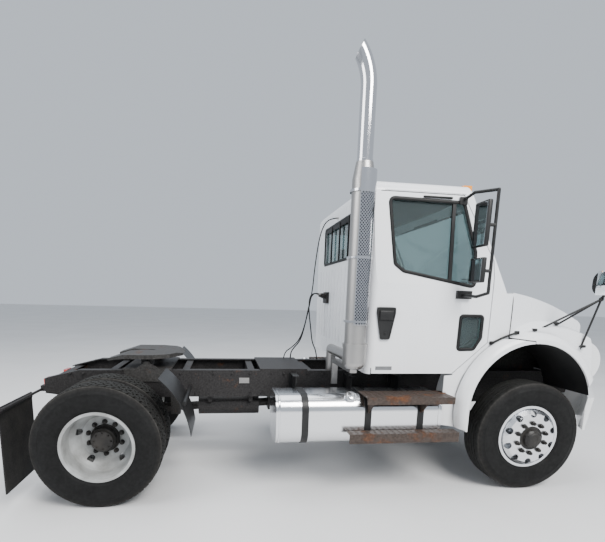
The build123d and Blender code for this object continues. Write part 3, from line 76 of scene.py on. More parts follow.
def front(x):
    """A place given in metres ahead of the front axle."""
    return front_axle.x + x


front_axle = middle_of("front_tyre_right")
rear_axle = middle_of("rear_tyres_right")
rear_axle.y = 0
TYRE_RADIUS = (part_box("front_tyre_right")[1].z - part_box("front_tyre_right")[0].z) / 2
SIDES = (("right", -1), ("left", 1))
print("axles at", round(rear_axle.x, 3), "and", round(front_axle.x, 3))

# %% [markdown]
# ## The camera
# The photograph was taken from the truck's right, level with the windows, a little behind the middle. The
# middle of the lens lies well below the middle of the picture, so the camera keeps a vertical shift. A camera
# in Blender looks along its own -Z with +Y up, so three axes that are worked out from the angles become the
# columns of its matrix.

# %% Camera
PHOTO_WIDTH = 605
PHOTO_HEIGHT = 542
FOCAL_PIXELS = 433.3
LENS_CENTRE = (285.4, 380.0)
CAMERA_YAW = math.radians(8.31)
CAMERA_PITCH = math.radians(-10.72)
CAMERA_ROLL = math.radians(1.47)
CAMERA_PLACE = Vector((rear(1.012), -4.708, 1.750))

look = Vector((
    math.sin(CAMERA_YAW) * math.cos(CAMERA_PITCH), math.cos(CAMERA_YAW) * math.cos(CAMERA_PITCH),
    math.sin(CAMERA_PITCH),
))
level_right = Vector((math.cos(CAMERA_YAW), -math.sin(CAMERA_YAW), 0))
level_up = level_right.cross(look)
right = level_right * math.cos(CAMERA_ROLL) + level_up * math.sin(CAMERA_ROLL)
up = level_up * math.cos(CAMERA_ROLL) - level_right * math.sin(CAMERA_ROLL)

camera_data = bpy.data.cameras.new("photo_camera")
camera = bpy.data.objects.new("photo_camera", camera_data)
bpy.context.scene.collection.objects.link(camera)
camera.matrix_world = Matrix((
    (right.x, up.x, -look.x, CAMERA_PLACE.x), (right.y, up.y, -look.y, CAMERA_PLACE.y),
    (right.z, up.z, -look.z, CAMERA_PLACE.z), (0, 0, 0, 1),
))
camera_data.sensor_width = 36
camera_data.lens = FOCAL_PIXELS * camera_data.sensor_width / PHOTO_WIDTH
camera_data.shift_x = (PHOTO_WIDTH / 2 - LENS_CENTRE[0]) / PHOTO_WIDTH
camera_data.shift_y = (LENS_CENTRE[1] - PHOTO_HEIGHT / 2) / PHOTO_WIDTH
camera_data.clip_end = 200
bpy.context.scene.camera = camera
print("lens", round(camera_data.lens, 2), "mm, shift", round(camera_data.shift_y, 3))

# %% [markdown]
# ## Floor and light
# The floor is one plain pale plane, a hair below the tyres so that the two never share a face. The world
# behind it has nearly the same tone, so the horizon stays soft. One large soft light stands high on the
# camera's side, a second one fills from the truck's rear, and a third one shines down on the roof and the
# deck. Large lights give soft shadows and long highlights on paint.

# %% Floor and lights
# Each light: its name, its place, the point that it shines on, its size in metres, its power and its tone.
STUDIO_LIGHTS = (
    ("key_light", (3.5, -9.0, 9.5), (0, 0, 1.0), 6.0, 2300, (1.0, 0.985, 0.96)),
    ("rear_light", (-9.5, -3.0, 6.0), (0, 0, 1.2), 6.0, 620, (1, 1, 1)),
    ("top_light", (-0.5, 1.0, 11.0), (0, 0, 0), 9.0, 600, (1, 1, 1)),
)
SKY_TONE = (0.80, 0.87, 0.96, 1)
SKY_STRENGTH = 0.80
FLOOR_SIZE = 120
FLOOR_DROP = 0.0005

for name, place, target, size, power, tone in STUDIO_LIGHTS:
    data = bpy.data.lights.new(name, "AREA")
    data.shape = "SQUARE"
    data.size = size
    data.energy = power
    data.color = tone
    light = bpy.data.objects.new(name, data)
    light.location = place
    light.rotation_euler = (Vector(target) - Vector(place)).to_track_quat("-Z", "Y").to_euler()
    bpy.context.scene.collection.objects.link(light)

world = bpy.data.worlds.new("studio")
bpy.context.scene.world = world
world.use_nodes = True
world.node_tree.nodes["Background"].inputs["Color"].default_value = SKY_TONE
world.node_tree.nodes["Background"].inputs["Strength"].default_value = SKY_STRENGTH

bpy.ops.object.select_all(action="DESELECT")
bpy.ops.mesh.primitive_plane_add(size=FLOOR_SIZE, location=(0, 0, -FLOOR_DROP))
floor = bpy.context.object
floor.name = "studio_floor"
print(len(STUDIO_LIGHTS), "lights over a floor of", FLOOR_SIZE, "m")

# %% [markdown]
# ## Building materials from nodes
# Every finish is a small node tree. A few helpers keep the trees short: one makes a node with its values, one
# joins two sockets, and one gives the object's own coordinates, so that a pattern stays on the piece when it
# moves.


# %% Nodes
def new_material(name, colour=(0.8, 0.8, 0.8), roughness=0.5, metallic=0.0):
    material = bpy.data.materials.new(name)
    material.use_nodes = True
    shader = material.node_tree.nodes["Principled BSDF"]
    shader.inputs["Base Color"].default_value = (*colour, 1)
    shader.inputs["Roughness"].default_value = roughness
    shader.inputs["Metallic"].default_value = metallic
    return material, shader


def add_node(material, kind, **values):
    """A new node; each value goes to the property or to the input of that name."""
    made = material.node_tree.nodes.new(kind)
    for name, value in values.items():
        if hasattr(made, name):
            setattr(made, name, value)
        else:
            made.inputs[name.replace("_", " ").title()].default_value = value
    return made


def join(material, source, target):
    """Give an input a plain number, or join it to a socket."""
    if isinstance(source, float):
        target.default_value = source
    else:
        material.node_tree.links.new(source, target)


def coordinates(material, scale=(1, 1, 1)):
    """Object coordinates stretched by scale, as a socket."""
    texture = add_node(material, "ShaderNodeTexCoord")
    mapping = add_node(material, "ShaderNodeMapping", Scale=scale)
    join(material, texture.outputs["Object"], mapping.inputs["Vector"])
    return mapping.outputs["Vector"]


# %% [markdown]
# Dirt, wear and grain are all noise at some scale. A ramp turns the noise into tones, and the result changes
# a colour, the roughness, or the height that the light sees. A noise that is stretched one way gives runs and
# scratches.

# %% Patterns
MIX_FIRST, MIX_SECOND, MIX_COLOUR = 6, 7, 2


def noise(material, scale, detail=4.0, stretch=(1, 1, 1), roughness=0.55):
    made = add_node(material, "ShaderNodeTexNoise", Scale=scale, Detail=detail, Roughness=roughness)
    join(material, coordinates(material, stretch), made.inputs["Vector"])
    return made.outputs["Fac"]


def grey(value):
    return (value, value, value)


def ramp(material, source, stops):
    """A colour ramp on a socket: stops are (place, (r, g, b)) pairs."""
    made = add_node(material, "ShaderNodeValToRGB")
    elements = made.color_ramp.elements
    while len(elements) < len(stops):
        elements.new(0.5)
    for element, (place, colour) in zip(elements, stops):
        element.position = place
        element.color = (*colour, 1)
    join(material, source, made.inputs["Fac"])
    return made.outputs["Color"]


def vary(material, shader, entry, source, stops):
    """Let a pattern change one entry of the shader, through a ramp."""
    join(material, ramp(material, source, stops), shader.inputs[entry])


def mix(material, factor, first, second, blend="MIX"):
    """A colour mix of two sockets by a factor."""
    made = add_node(material, "ShaderNodeMix", data_type="RGBA", blend_type=blend)
    join(material, factor, made.inputs["Factor"])
    join(material, first, made.inputs[MIX_FIRST])
    join(material, second, made.inputs[MIX_SECOND])
    return made.outputs[MIX_COLOUR]


def bump(material, shader, source, strength, distance):
    made = add_node(material, "ShaderNodeBump", Strength=strength, Distance=distance)
    join(material, source, made.inputs["Height"])
    join(material, made.outputs["Normal"], shader.inputs["Normal"])


# %% [markdown]
# Some finishes depend on the place on the truck: paint is dirtier low down, and rubber changes its tone with
# the distance from the axle. Three more helpers read the place, calculate with it and bring it to 0 to 1.


# %% Finishes that know their place
def object_place(material):
    """The X, Y and Z of a point on the piece, as sockets."""
    split = add_node(material, "ShaderNodeSeparateXYZ")
    join(material, coordinates(material), split.inputs["Vector"])
    return split.outputs


def calculate(material, operation, *values):
    """A calculation with sockets and plain numbers."""
    made = add_node(material, "ShaderNodeMath", operation=operation)
    for entry, value in zip(made.inputs, values):
        join(material, value, entry)
    return made.outputs["Value"]


def between(material, source, low, high):
    """0 where a socket is low or less, and 1 where it is high or more."""
    made = add_node(material, "ShaderNodeMapRange")
    join(material, source, made.inputs["Value"])
    made.inputs["From Min"].default_value = low
    made.inputs["From Max"].default_value = high
    return made.outputs["Result"]


# %% [markdown]
# ## White cab paint
# Fleet white that has seen years of weather: nearly plain from afar, greyer low down where the wheels throw
# dirt, with faint runs below seams and a clear coat that has lost some of its shine.

# %% Cab paint
DIRT_LOW, DIRT_HIGH = 0.55, 1.75


def cab_paint():
    material, shader = new_material("white_paint", roughness=0.32)
    streaks = noise(material, 3.0, 6.0, stretch=(6, 6, 0.7))
    cloud = noise(material, 1.3, 5.0)
    clean = ramp(material, cloud, [(0.3, (0.80, 0.82, 0.85)), (0.75, (0.87, 0.88, 0.90))])
    dirty = ramp(material, streaks, [(0.35, (0.50, 0.48, 0.44)), (0.7, (0.70, 0.69, 0.66))])
    height = between(material, object_place(material)["Z"], DIRT_LOW, DIRT_HIGH)
    low = ramp(material, height, [(0.0, grey(0.85)), (0.45, grey(0.3)), (1.0, grey(0.06))])
    runs = ramp(material, streaks, [(0.4, grey(0.35)), (0.7, grey(1.0))])
    dirt = calculate(material, "MULTIPLY", low, runs)
    join(material, mix(material, dirt, clean, dirty), shader.inputs["Base Color"])
    vary(material, shader, "Roughness", streaks, [(0.3, grey(0.26)), (0.8, grey(0.44))])
    shader.inputs["Coat Weight"].default_value = 0.35
    shader.inputs["Coat Roughness"].default_value = 0.12
    bump(material, shader, noise(material, 220.0, 2.0), 0.04, 0.0005)
    return material


# %% [markdown]
# ## Chassis black with rust
# The frame was sprayed black and has rusted through where stones and salt reach it. A coarse noise decides
# where the rust shows, so that it comes in patches, and a fine one breaks up the tones of rust and paint.

# %% Chassis paint
RUST_TONES = [(0.3, (0.050, 0.022, 0.012)), (0.55, (0.10, 0.042, 0.020)), (0.78, (0.19, 0.085, 0.038))]


def chassis_paint(name, rust, tone):
    """Black paint of a tone, with more rust showing the nearer rust is to 1."""
    material, shader = new_material(name, roughness=0.6)
    shader.inputs["Specular IOR Level"].default_value = 0.25
    patches = noise(material, 5.0, 8.0, roughness=0.68)
    fine = noise(material, 60.0, 4.0)
    edge = 0.62 - 0.2 * rust
    where = ramp(material, patches, [(edge, grey(0.0)), (edge + 0.12, grey(1.0))])
    rusty = ramp(material, fine, RUST_TONES)
    dusty = ramp(material, fine, [(0.35, tone), (0.85, tuple(2.6 * v + 0.01 for v in tone))])
    join(material, mix(material, where, dusty, rusty), shader.inputs["Base Color"])
    vary(material, shader, "Roughness", where, [(0.0, grey(0.48)), (1.0, grey(0.9))])
    bump(material, shader, patches, 0.25, 0.002)
    return material


# %% [markdown]
# ## Bare metals
# Polished aluminium keeps fine scratches all the same way round, and greys where road dirt dries on it. The
# chrome of the exhaust is cleaner, but heat and soot dull it. A stretched noise gives the scratches.


# %% Metals
def polished_metal(name, tone, roughness, stretch, dirt):
    material, shader = new_material(name, tone, roughness, 1.0)
    scratch = noise(material, 90.0, 3.0, stretch=stretch)
    cloud = noise(material, 4.0, 6.0)
    dull = tuple(v * 0.62 for v in tone)
    vary(material, shader, "Base Color", cloud, [(0.35, tone), (0.62 + 0.3 * (1 - dirt), tone), (1.0, dull)])
    shine = [(0.2, grey(roughness * 0.7)), (0.8, grey(roughness * 1.5))]
    vary(material, shader, "Roughness", scratch, shine)
    bump(material, shader, scratch, 0.05, 0.0004)
    return material


# %% [markdown]
# ## Plastic, rubber, glass and lenses
# A moulded or cast surface is two close tones under a fine grain. Glass lets the light through and carries a
# thin uneven film of dirt. A lens is clear over small cells, which stand for the prisms moulded in its back.


# %% Plastic, rubber, glass and lenses
def plain_finish(name, dark, light, roughness, grain=80.0, depth=0.15, shine=0.5):
    """A moulded or cast surface: two close tones and a fine grain."""
    material, shader = new_material(name, dark, roughness)
    shader.inputs["Specular IOR Level"].default_value = shine
    cloud = noise(material, 7.0, 6.0)
    vary(material, shader, "Base Color", cloud, [(0.3, dark), (0.75, light)])
    fine = noise(material, grain, 4.0)
    rough = [(0.2, grey(roughness * 0.85)), (0.8, grey(min(1.0, roughness * 1.15)))]
    vary(material, shader, "Roughness", fine, rough)
    bump(material, shader, fine, depth, 0.0008)
    return material


def glass_finish(name, tone, weight):
    material, shader = new_material(name, tone, 0.03)
    shader.inputs["Transmission Weight"].default_value = weight
    shader.inputs["IOR"].default_value = 1.45
    vary(material, shader, "Roughness", noise(material, 6.0, 4.0), [(0.3, grey(0.02)), (0.9, grey(0.10))])
    return material


def lens_finish(name, tone):
    material, shader = new_material(name, tone, 0.12)
    shader.inputs["Coat Weight"].default_value = 0.6
    cells = add_node(material, "ShaderNodeTexVoronoi", Scale=90.0)
    join(material, coordinates(material), cells.inputs["Vector"])
    bump(material, shader, cells.outputs["Distance"], 0.35, 0.002)
    return material


# %% [markdown]
# ## The truck's finishes
# The same few recipes give every finish of the truck. The blacks differ by how much light they throw back:
# tyres and rubber hardly shine, moulded plastic shines a little, and the frame is dull with some rust.

# %% Finishes
white = cab_paint()
frame_black = chassis_paint("chassis_black", 0.10, (0.012, 0.011, 0.011))
axle_black = chassis_paint("axle_casting", 0.15, (0.014, 0.013, 0.012))
coupler = chassis_paint("coupler_casting", 0.20, (0.022, 0.021, 0.020))
rusty_step = chassis_paint("worn_step", 0.45, (0.030, 0.022, 0.018))
tank_metal = polished_metal("polished_tank", (0.74, 0.75, 0.77), 0.16, (0.15, 6, 6), 0.5)
rim_metal = polished_metal("polished_rim", (0.72, 0.73, 0.75), 0.22, (3, 0.4, 3), 0.5)
chrome = polished_metal("chrome", (0.66, 0.66, 0.68), 0.10, (6, 6, 0.6), 0.4)
exhaust_metal = polished_metal("aluminised_steel", (0.40, 0.39, 0.38), 0.36, (4, 4, 1), 0.8)
white_rim = plain_finish("white_rim_paint", (0.22, 0.22, 0.21), (0.46, 0.47, 0.47), 0.42, 50.0)
tyre_rubber = plain_finish("tyre_rubber", grey(0.006), (0.020, 0.019, 0.018), 0.8, 120.0, 0.3, 0.2)
black_plastic = plain_finish("black_plastic", (0.006, 0.006, 0.0065), grey(0.016), 0.42, 140.0, 0.15, 0.35)
flap_rubber = plain_finish("flap_rubber", grey(0.008), (0.026, 0.024, 0.022), 0.65, 60.0, 0.2, 0.25)
interior = plain_finish("interior_plastic", (0.05, 0.05, 0.052), (0.08, 0.08, 0.082), 0.6, 160.0)
cloth = plain_finish("seat_cloth", (0.04, 0.042, 0.046), (0.08, 0.082, 0.088), 0.9, 400.0, 0.4)
glass = glass_finish("window_glass", (0.50, 0.62, 0.62), 0.96)
clear_lens = lens_finish("clear_lens", (0.75, 0.76, 0.77))
amber_lens = lens_finish("amber_lens", (0.85, 0.30, 0.02))
red_lens = lens_finish("red_lens", (0.45, 0.02, 0.015))
print(len(bpy.data.materials), "finishes")

# %% [markdown]
# ## Finish of each piece of the frame
# The frame's record names a finish for each of its pieces. Every piece gets the material of that name. The
# front wheels are bare polished metal while the rear ones are painted white, so those two are set apart.

# %% Finish of each piece of the frame
finishes = {
    "cab_white": white, "frame_black": frame_black, "axle_black": axle_black, "polished": tank_metal,
    "rim_white": white_rim, "chrome": chrome, "exhaust": exhaust_metal, "tyre": tyre_rubber,
    "black_plastic": black_plastic, "rubber": flap_rubber, "glass": glass, "lamp": clear_lens,
    "amber": amber_lens, "red": red_lens, "step": rusty_step, "seat": cloth, "interior": interior,
    "coupler": coupler,
}
slots = {entry["node"]: entry["material_slot"] for entry in frame["record"]["subparts"]}
for name, piece in nodes.items():
    piece.data.materials.clear()
    piece.data.materials.append(finishes[slots[name]])
for name in ("front_wheel_left", "front_wheel_right"):
    nodes[name].data.materials[0] = rim_metal

pale_floor, floor_shader = new_material("pale_floor", (0.72, 0.73, 0.74), 0.7)
floor_tones = [(0.3, grey(0.68)), (0.7, grey(0.73))]
vary(pale_floor, floor_shader, "Base Color", noise(pale_floor, 0.6, 3.0), floor_tones)
floor.data.materials.append(pale_floor)
print(len(nodes), "pieces of the frame have their finish")

# %% [markdown]
# ## Working on one piece
# Operators work on all that is selected, so everything is deselected first and only the piece in hand is made
# active. At the end every size is in the mesh and the object sits at the origin, as the frame's own do.


# %% Working on one piece
def start_clean():
    bpy.ops.object.select_all(action="DESELECT")


def make_active(piece):
    start_clean()
    piece.select_set(True)
    bpy.context.view_layer.objects.active = piece


def settle(piece, name):
    """Put a piece's place, turn and scale into its mesh."""
    make_active(piece)
    bpy.ops.object.transform_apply(location=True, rotation=True, scale=True)
    piece.name = name
    return piece


def use_modifier(piece, kind, **values):
    make_active(piece)
    modifier = piece.modifiers.new("shape", kind)
    for name, value in values.items():
        setattr(modifier, name, value)
    bpy.ops.object.modifier_apply(modifier=modifier.name)
    return piece


def soften(piece, width, steps):
    """Round every edge that is sharper than 35 degrees."""
    limit = math.radians(35)
    return use_modifier(piece, "BEVEL", width=width, segments=steps, limit_method="ANGLE", angle_limit=limit)


# %% [markdown]
# ## Blocks and drums
# Most small pieces start as a cube or a cylinder at its real place. A bevel rounds the sharp edges, because
# no edge on a real truck is perfectly sharp and a rounded one catches the light.


# %% Blocks and drums
def block(name, first, second, edge=0.0, steps=2):
    """A cube between two corners, with its edges rounded."""
    start_clean()
    low = Vector([min(a, b) for a, b in zip(first, second)])
    high = Vector([max(a, b) for a, b in zip(first, second)])
    bpy.ops.mesh.primitive_cube_add(size=1, location=(low + high) / 2)
    piece = bpy.context.object
    piece.scale = high - low
    settle(piece, name)
    if edge:
        soften(piece, edge, steps)
    return piece


def side_block(name, sign, first, second, edge, steps=2):
    """A block on one side; its corners are (ahead of the front axle, out from the middle, height)."""
    corners = [(front(x), sign * y, z) for x, y, z in (first, second)]
    return block(name, *corners, edge, steps)


def drum(name, centre, radius, depth, axis, sides, edge):
    """A cylinder along an axis of the truck, with its rims rounded."""
    start_clean()
    turn = {"X": (0, math.pi / 2, 0), "Y": (math.pi / 2, 0, 0), "Z": (0, 0, 0)}[axis]
    bpy.ops.mesh.primitive_cylinder_add(
        vertices=sides, radius=radius, depth=depth, location=centre, rotation=turn
    )
    return soften(settle(bpy.context.object, name), edge, 1)


# %% [markdown]
# ## Copies
# What repeats on the truck, such as nuts, bolts, tread blocks and grips, is modelled once. Each copy gets a
# mesh of its own and is moved or turned there, and the copies are then joined into one piece.


# %% Copies
def merge(name, pieces):
    make_active(pieces[0])
    for piece in pieces:
        piece.select_set(True)
    bpy.ops.object.join()
    pieces[0].name = name
    return pieces[0]


def copied(piece, change):
    """A copy with its own mesh, moved or turned by a matrix."""
    made = piece.copy()
    made.data = piece.data.copy()
    made.data.transform(change)
    bpy.context.scene.collection.objects.link(made)
    return made


def spread(piece, name, offsets):
    """Copies of a piece at offsets from it, joined into one."""
    copies = [copied(piece, Matrix.Translation(offset)) for offset in offsets]
    bpy.data.objects.remove(piece)
    return merge(name, copies)


def around(piece, name, count, centre, start=0.0):
    """Copies of a piece turned round an axle through centre, joined into one."""
    there, back = Matrix.Translation(centre), Matrix.Translation(-Vector(centre))
    turns = [Matrix.Rotation(start + 2 * math.pi * i / count, 4, "Y") for i in range(count)]
    copies = [copied(piece, there @ turn @ back) for turn in turns]
    bpy.data.objects.remove(piece)
    return merge(name, copies)


# %% [markdown]
# ## Turned pieces and finished pieces
# Tyres, hubs, clamps and caps are round, so each is a profile line that is spun round its axis, as on a
# lathe. The spin leaves a doubled seam and doubled points on the axis, so doubles are merged before the faces
# are turned outwards. A last helper gives any piece its finish and says what it rides on.


# %% Turned pieces and finished pieces
def new_piece(name, data):
    """An object for a mesh or a curve, put into the scene."""
    piece = bpy.data.objects.new(name, data)
    bpy.context.scene.collection.objects.link(piece)
    return piece


def open_mesh(piece):
    """Start to edit a piece, with all of it selected."""
    make_active(piece)
    bpy.ops.object.mode_set(mode="EDIT")
    bpy.ops.mesh.select_all(action="SELECT")


def close_mesh():
    bpy.ops.object.mode_set(mode="OBJECT")


def turned(name, profile, centre, axis=(0, 1, 0), steps=64):
    """A profile of (radius, place along the axis) points spun round the axis."""
    along = Vector(axis).normalized()
    out = Vector((1, 0, 0)) if abs(along.x) < 0.5 else Vector((0, 0, 1))
    points = [Vector(centre) + out * radius + along * place for radius, place in profile]
    mesh = bpy.data.meshes.new(name)
    mesh.from_pydata(points, [(i, i + 1) for i in range(len(points) - 1)], [])
    piece = new_piece(name, mesh)
    open_mesh(piece)
    bpy.ops.mesh.spin(steps=steps, angle=2 * math.pi, center=centre, axis=along)
    bpy.ops.mesh.select_all(action="SELECT")
    bpy.ops.mesh.remove_doubles(threshold=0.00002)
    bpy.ops.mesh.normals_make_consistent(inside=False)
    close_mesh()
    return piece


def dress(piece, material, body, smooth=35, replaces=()):
    """Finish a piece: its material, smooth shading, the body that it rides on and the nodes it stands for."""
    piece.data.materials.clear()
    piece.data.materials.append(material)
    make_active(piece)
    bpy.ops.object.shade_smooth_by_angle(angle=math.radians(smooth))
    if replaces:
        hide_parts(*replaces)
    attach(piece, body)
    print(piece.name, len(piece.data.polygons), "faces")


# %% [markdown]
# ## Tyres
# A truck tyre is a body of revolution, so its half section is spun round the axle. Steering tyres have ribs
# that run right round, which the section can hold. Drive tyres have blocks, so one block is modelled, rounded
# and copied round a smooth body whose surface is the bottom of the grooves.

# %% Tyre sections
TYRE_HALF = 0.1395
TREAD_HALF = 0.1075
GROOVE_DEPTH = 0.013
GROOVE_SLOPE = 0.0015
BEAD = (0.286, 0.1045)
BEAD_TOP = (0.299, 0.1045)
FLANK_LOW = (0.302, 0.115)
FLANK_WIDE = (0.400, TYRE_HALF)
FLANK_HIGH = (0.492, 0.1265)
SHOULDER = ((0.503, 0.1215), (0.510, 0.1165))
FLANK_RINGS = (
    (0.318, 0.0), (0.322, 0.0016), (0.330, 0.0016), (0.334, 0.0), (0.362, 0.0), (0.392, 0.0),
    (0.424, -0.0002), (0.446, -0.0002), (0.449, 0.0014), (0.457, 0.0014), (0.460, 0.0), (0.478, 0.0),
)


def flank(radius):
    """Half width of the sidewall at a radius: a parabola through three measured places."""
    (a, fa), (b, fb), (c, fc) = FLANK_LOW, FLANK_WIDE, FLANK_HIGH
    return (
        fa * (radius - b) * (radius - c) / ((a - b) * (a - c))
        + fb * (radius - a) * (radius - c) / ((b - a) * (b - c))
        + fc * (radius - a) * (radius - b) / ((c - a) * (c - b))
    )


def crown(across, drop=0.0):
    """Radius of the running face, which is a little lower towards its edges."""
    return TYRE_RADIUS - 0.0045 * (across / TREAD_HALF) ** 2 - drop


def side_points():
    """The sidewall from the bead to the shoulder, with the raised rings that protect it."""
    rings = [(radius, min(flank(radius) + proud, TYRE_HALF + 0.0008)) for radius, proud in FLANK_RINGS]
    return [BEAD, BEAD_TOP, FLANK_LOW, *rings, FLANK_HIGH, *SHOULDER]


def tyre_section(grooves, drop):
    """The whole closed section: one side, the tread with its grooves, the other side."""
    left = [(radius, -across) for radius, across in side_points()]
    tread = [(crown(TREAD_HALF, drop), -TREAD_HALF)]
    for middle, width in grooves:
        for across, depth in (
            (middle - width / 2, 0.0), (middle - width / 2 + GROOVE_SLOPE, GROOVE_DEPTH),
            (middle + width / 2 - GROOVE_SLOPE, GROOVE_DEPTH), (middle + width / 2, 0.0),
        ):
            tread.append((crown(across, drop) - depth, across))
    tread.append((crown(TREAD_HALF, drop), TREAD_HALF))
    return [*left, *tread, *reversed(side_points()), left[0]]


# %% [markdown]
# The rubber is nearly black on the tread's running face, grey with dry dirt down in the grooves, and brownish
# black on the sidewall. The nodes read the distance from the axle, so each axle has its own rubber.

# %% Rubber that knows its axle
RIM_RADIUS = 0.28


def axle_distance(material, x, z):
    """How far a point is from an axle that crosses the truck at x and z."""
    place = object_place(material)
    squares = []
    for socket, middle in (("X", x), ("Z", z)):
        offset = calculate(material, "SUBTRACT", place[socket], middle)
        squares.append(calculate(material, "MULTIPLY", offset, offset))
    return calculate(material, "SQRT", calculate(material, "ADD", *squares))


def axle_rubber(name, x, dust):
    """Rubber for the tyres of the axle at x, with dust in the grooves."""
    material, shader = new_material(name, grey(0.02), 0.75)
    outwards = between(material, axle_distance(material, x, front_axle.z), RIM_RADIUS, TYRE_RADIUS)
    zones = ramp(material, outwards, [
        (0.0, grey(0.006)), (0.80, grey(0.009)), (0.92, (0.016, 0.015, 0.014)), (0.945, dust),
        (0.975, (0.020, 0.020, 0.019)),
    ])
    shader.inputs["Specular IOR Level"].default_value = 0.2
    specks = ramp(material, noise(material, 38.0, 6.0), [(0.35, grey(0.55)), (0.75, grey(1.25))])
    join(material, mix(material, 1.0, zones, specks, "MULTIPLY"), shader.inputs["Base Color"])
    vary(material, shader, "Roughness", noise(material, 9.0, 5.0), [(0.3, grey(0.6)), (0.8, grey(0.9))])
    bump(material, shader, noise(material, 150.0, 4.0), 0.25, 0.0006)
    return material


steer_rubber = axle_rubber("steer_rubber", front_axle.x, (0.030, 0.028, 0.026))
drive_rubber = axle_rubber("drive_rubber", rear_axle.x, (0.040, 0.038, 0.035))
print("rubber for the axles at", round(front_axle.x, 3), "and", round(rear_axle.x, 3))

# %% [markdown]
# ## Steering tyres
# The front tyres have five plain ribs with four straight grooves between them. The grooves are part of the
# section, so one spin gives the whole tyre, and it takes the place of the frame's plain one.

# %% Steering tyres
RIB_GROOVES = ((-0.064, 0.010), (-0.022, 0.009), (0.022, 0.009), (0.064, 0.010))
for side in ("right", "left"):
    node = f"front_tyre_{side}"
    tyre = turned(f"ribbed_tyre_{side}", tyre_section(RIB_GROOVES, 0.0), middle_of(node), steps=96)
    dress(tyre, steer_rubber, f"front_wheel_{side}", 30, (node,))

# %% [markdown]
# ## Drive tyres
# The rear tyres run in pairs and have five rows of slanted blocks. Each row is one block, slanted and
# rounded, that is copied round the axle. Every second row is turned by half a block, and the outer blocks
# reach over the shoulder. Grooves in the spun section would only give rings, so the blocks are separate.

# %% Drive tyres
LUG_ROWS = 5
LUG_PITCHES = 54
LUG_SIZE = Vector((0.046, 0.037, 0.015))
LUG_SLANT = 0.45
BODY_DROP = 0.0125
TWIN_SPACING = 0.343


def lugs(middle_y):
    """All the tread blocks of one drive tyre."""
    rows = []
    for row in range(LUG_ROWS):
        across = (row - (LUG_ROWS - 1) / 2) * (2 * TREAD_HALF / LUG_ROWS)
        top = rear_axle.z + crown(across)
        place = Vector((rear_axle.x, middle_y + across, top - LUG_SIZE.z / 2))
        lug = block("lug", place - LUG_SIZE / 2, place + LUG_SIZE / 2)
        for vertex in lug.data.vertices:
            sideways = vertex.co.y - place.y
            vertex.co.x += LUG_SLANT * sideways * (-1 if row % 2 else 1)
            if row in (0, LUG_ROWS - 1) and sideways * across > 0:
                vertex.co.z -= 0.002
                vertex.co.y += math.copysign(0.003, across)
        soften(lug, 0.002, 1)
        rows.append(around(lug, "lug_row", LUG_PITCHES, rear_axle, (row % 2) * math.pi / LUG_PITCHES))
    return merge("lugs", rows)


OUTER_TYRE_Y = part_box("rear_tyres_left")[1].y - TYRE_HALF
for side, sign in SIDES:
    tyres = []
    for y in (OUTER_TYRE_Y, OUTER_TYRE_Y - TWIN_SPACING):
        middle = Vector((rear_axle.x, sign * y, rear_axle.z))
        tyres.append(turned("tyre_body", tyre_section((), BODY_DROP), middle, steps=96))
        tyres.append(lugs(sign * y))
    pair = merge(f"block_tyres_{side}", tyres)
    dress(pair, drive_rubber, f"rear_wheels_{side}", 30, (f"rear_tyres_{side}",))

# %% [markdown]
# ## Hubs and wheel nuts
# The wheels are the frame's own. What a plain solid lacks are the ten nuts on their flanged washers with the
# stud ends in them, and the dark greasy hubs. One nut is modelled and copied round the hub.

# %% Wheel nuts
NUT_CIRCLE = 0.14288
WASHER_TALL = 0.006
greasy = plain_finish("greasy_iron", grey(0.006), (0.030, 0.026, 0.022), 0.5, 60.0, 0.4, 0.4)
worn_steel = polished_metal("worn_steel", (0.34, 0.33, 0.32), 0.42, (1, 1, 1), 0.8)


def nuts(name, x, y, sign, count=10, circle=NUT_CIRCLE, size=0.0185, tall=0.024):
    """A ring of nuts whose seats are at y, facing sign."""
    base = Vector((x, y, front_axle.z + circle))
    outwards = Vector((0, sign, 0))
    nut_middle = base + outwards * (WASHER_TALL + tall / 2)
    stud_middle = base + outwards * (WASHER_TALL + tall + 0.004)
    parts = [
        drum("washer", base + outwards * WASHER_TALL / 2, size * 1.22, WASHER_TALL, "Y", 20, 0.001),
        drum("nut", nut_middle, size, tall, "Y", 6, 0.002),
        drum("stud", stud_middle, size * 0.55, 0.012, "Y", 12, 0.001),
    ]
    return around(merge("one_nut", parts), name, count, (x, y, front_axle.z))


# %% [markdown]
# A hub is a turned casting, so its profile is spun as the tyres are. The front hub has a flat cap held by six
# small screws. The rear one stands further out, because the axle shaft's flange closes it with eight screws.

# %% Hubs
FRONT_FACE = -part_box("front_wheel_right")[0].y - 0.046
REAR_HUB_FACE, REAR_DISC_FACE = 0.909, 0.920
HUB_FRONT = (
    (0, 0.0485), (0.030, 0.0485), (0.033, 0.052), (0.050, 0.052), (0.056, 0.0475), (0.064, 0.047),
    (0.081, 0.032), (0.087, 0.006), (0.110, 0.005), (0.113, 0.001), (0.113, -0.004), (0, -0.004),
)
HUB_REAR = (
    (0, 0.1195), (0.030, 0.1195), (0.034, 0.1215), (0.086, 0.1215), (0.095, 0.105), (0.103, 0.100),
    (0.104, 0.032), (0.120, 0.024), (0.128, 0.0125), (0.128, 0.005), (0, 0.005),
)


def spun_hub(profile, x, y, sign):
    """A hub cover from (radius, outwards) points."""
    return turned("cap", [(radius, sign * place) for radius, place in profile], (x, y, front_axle.z))


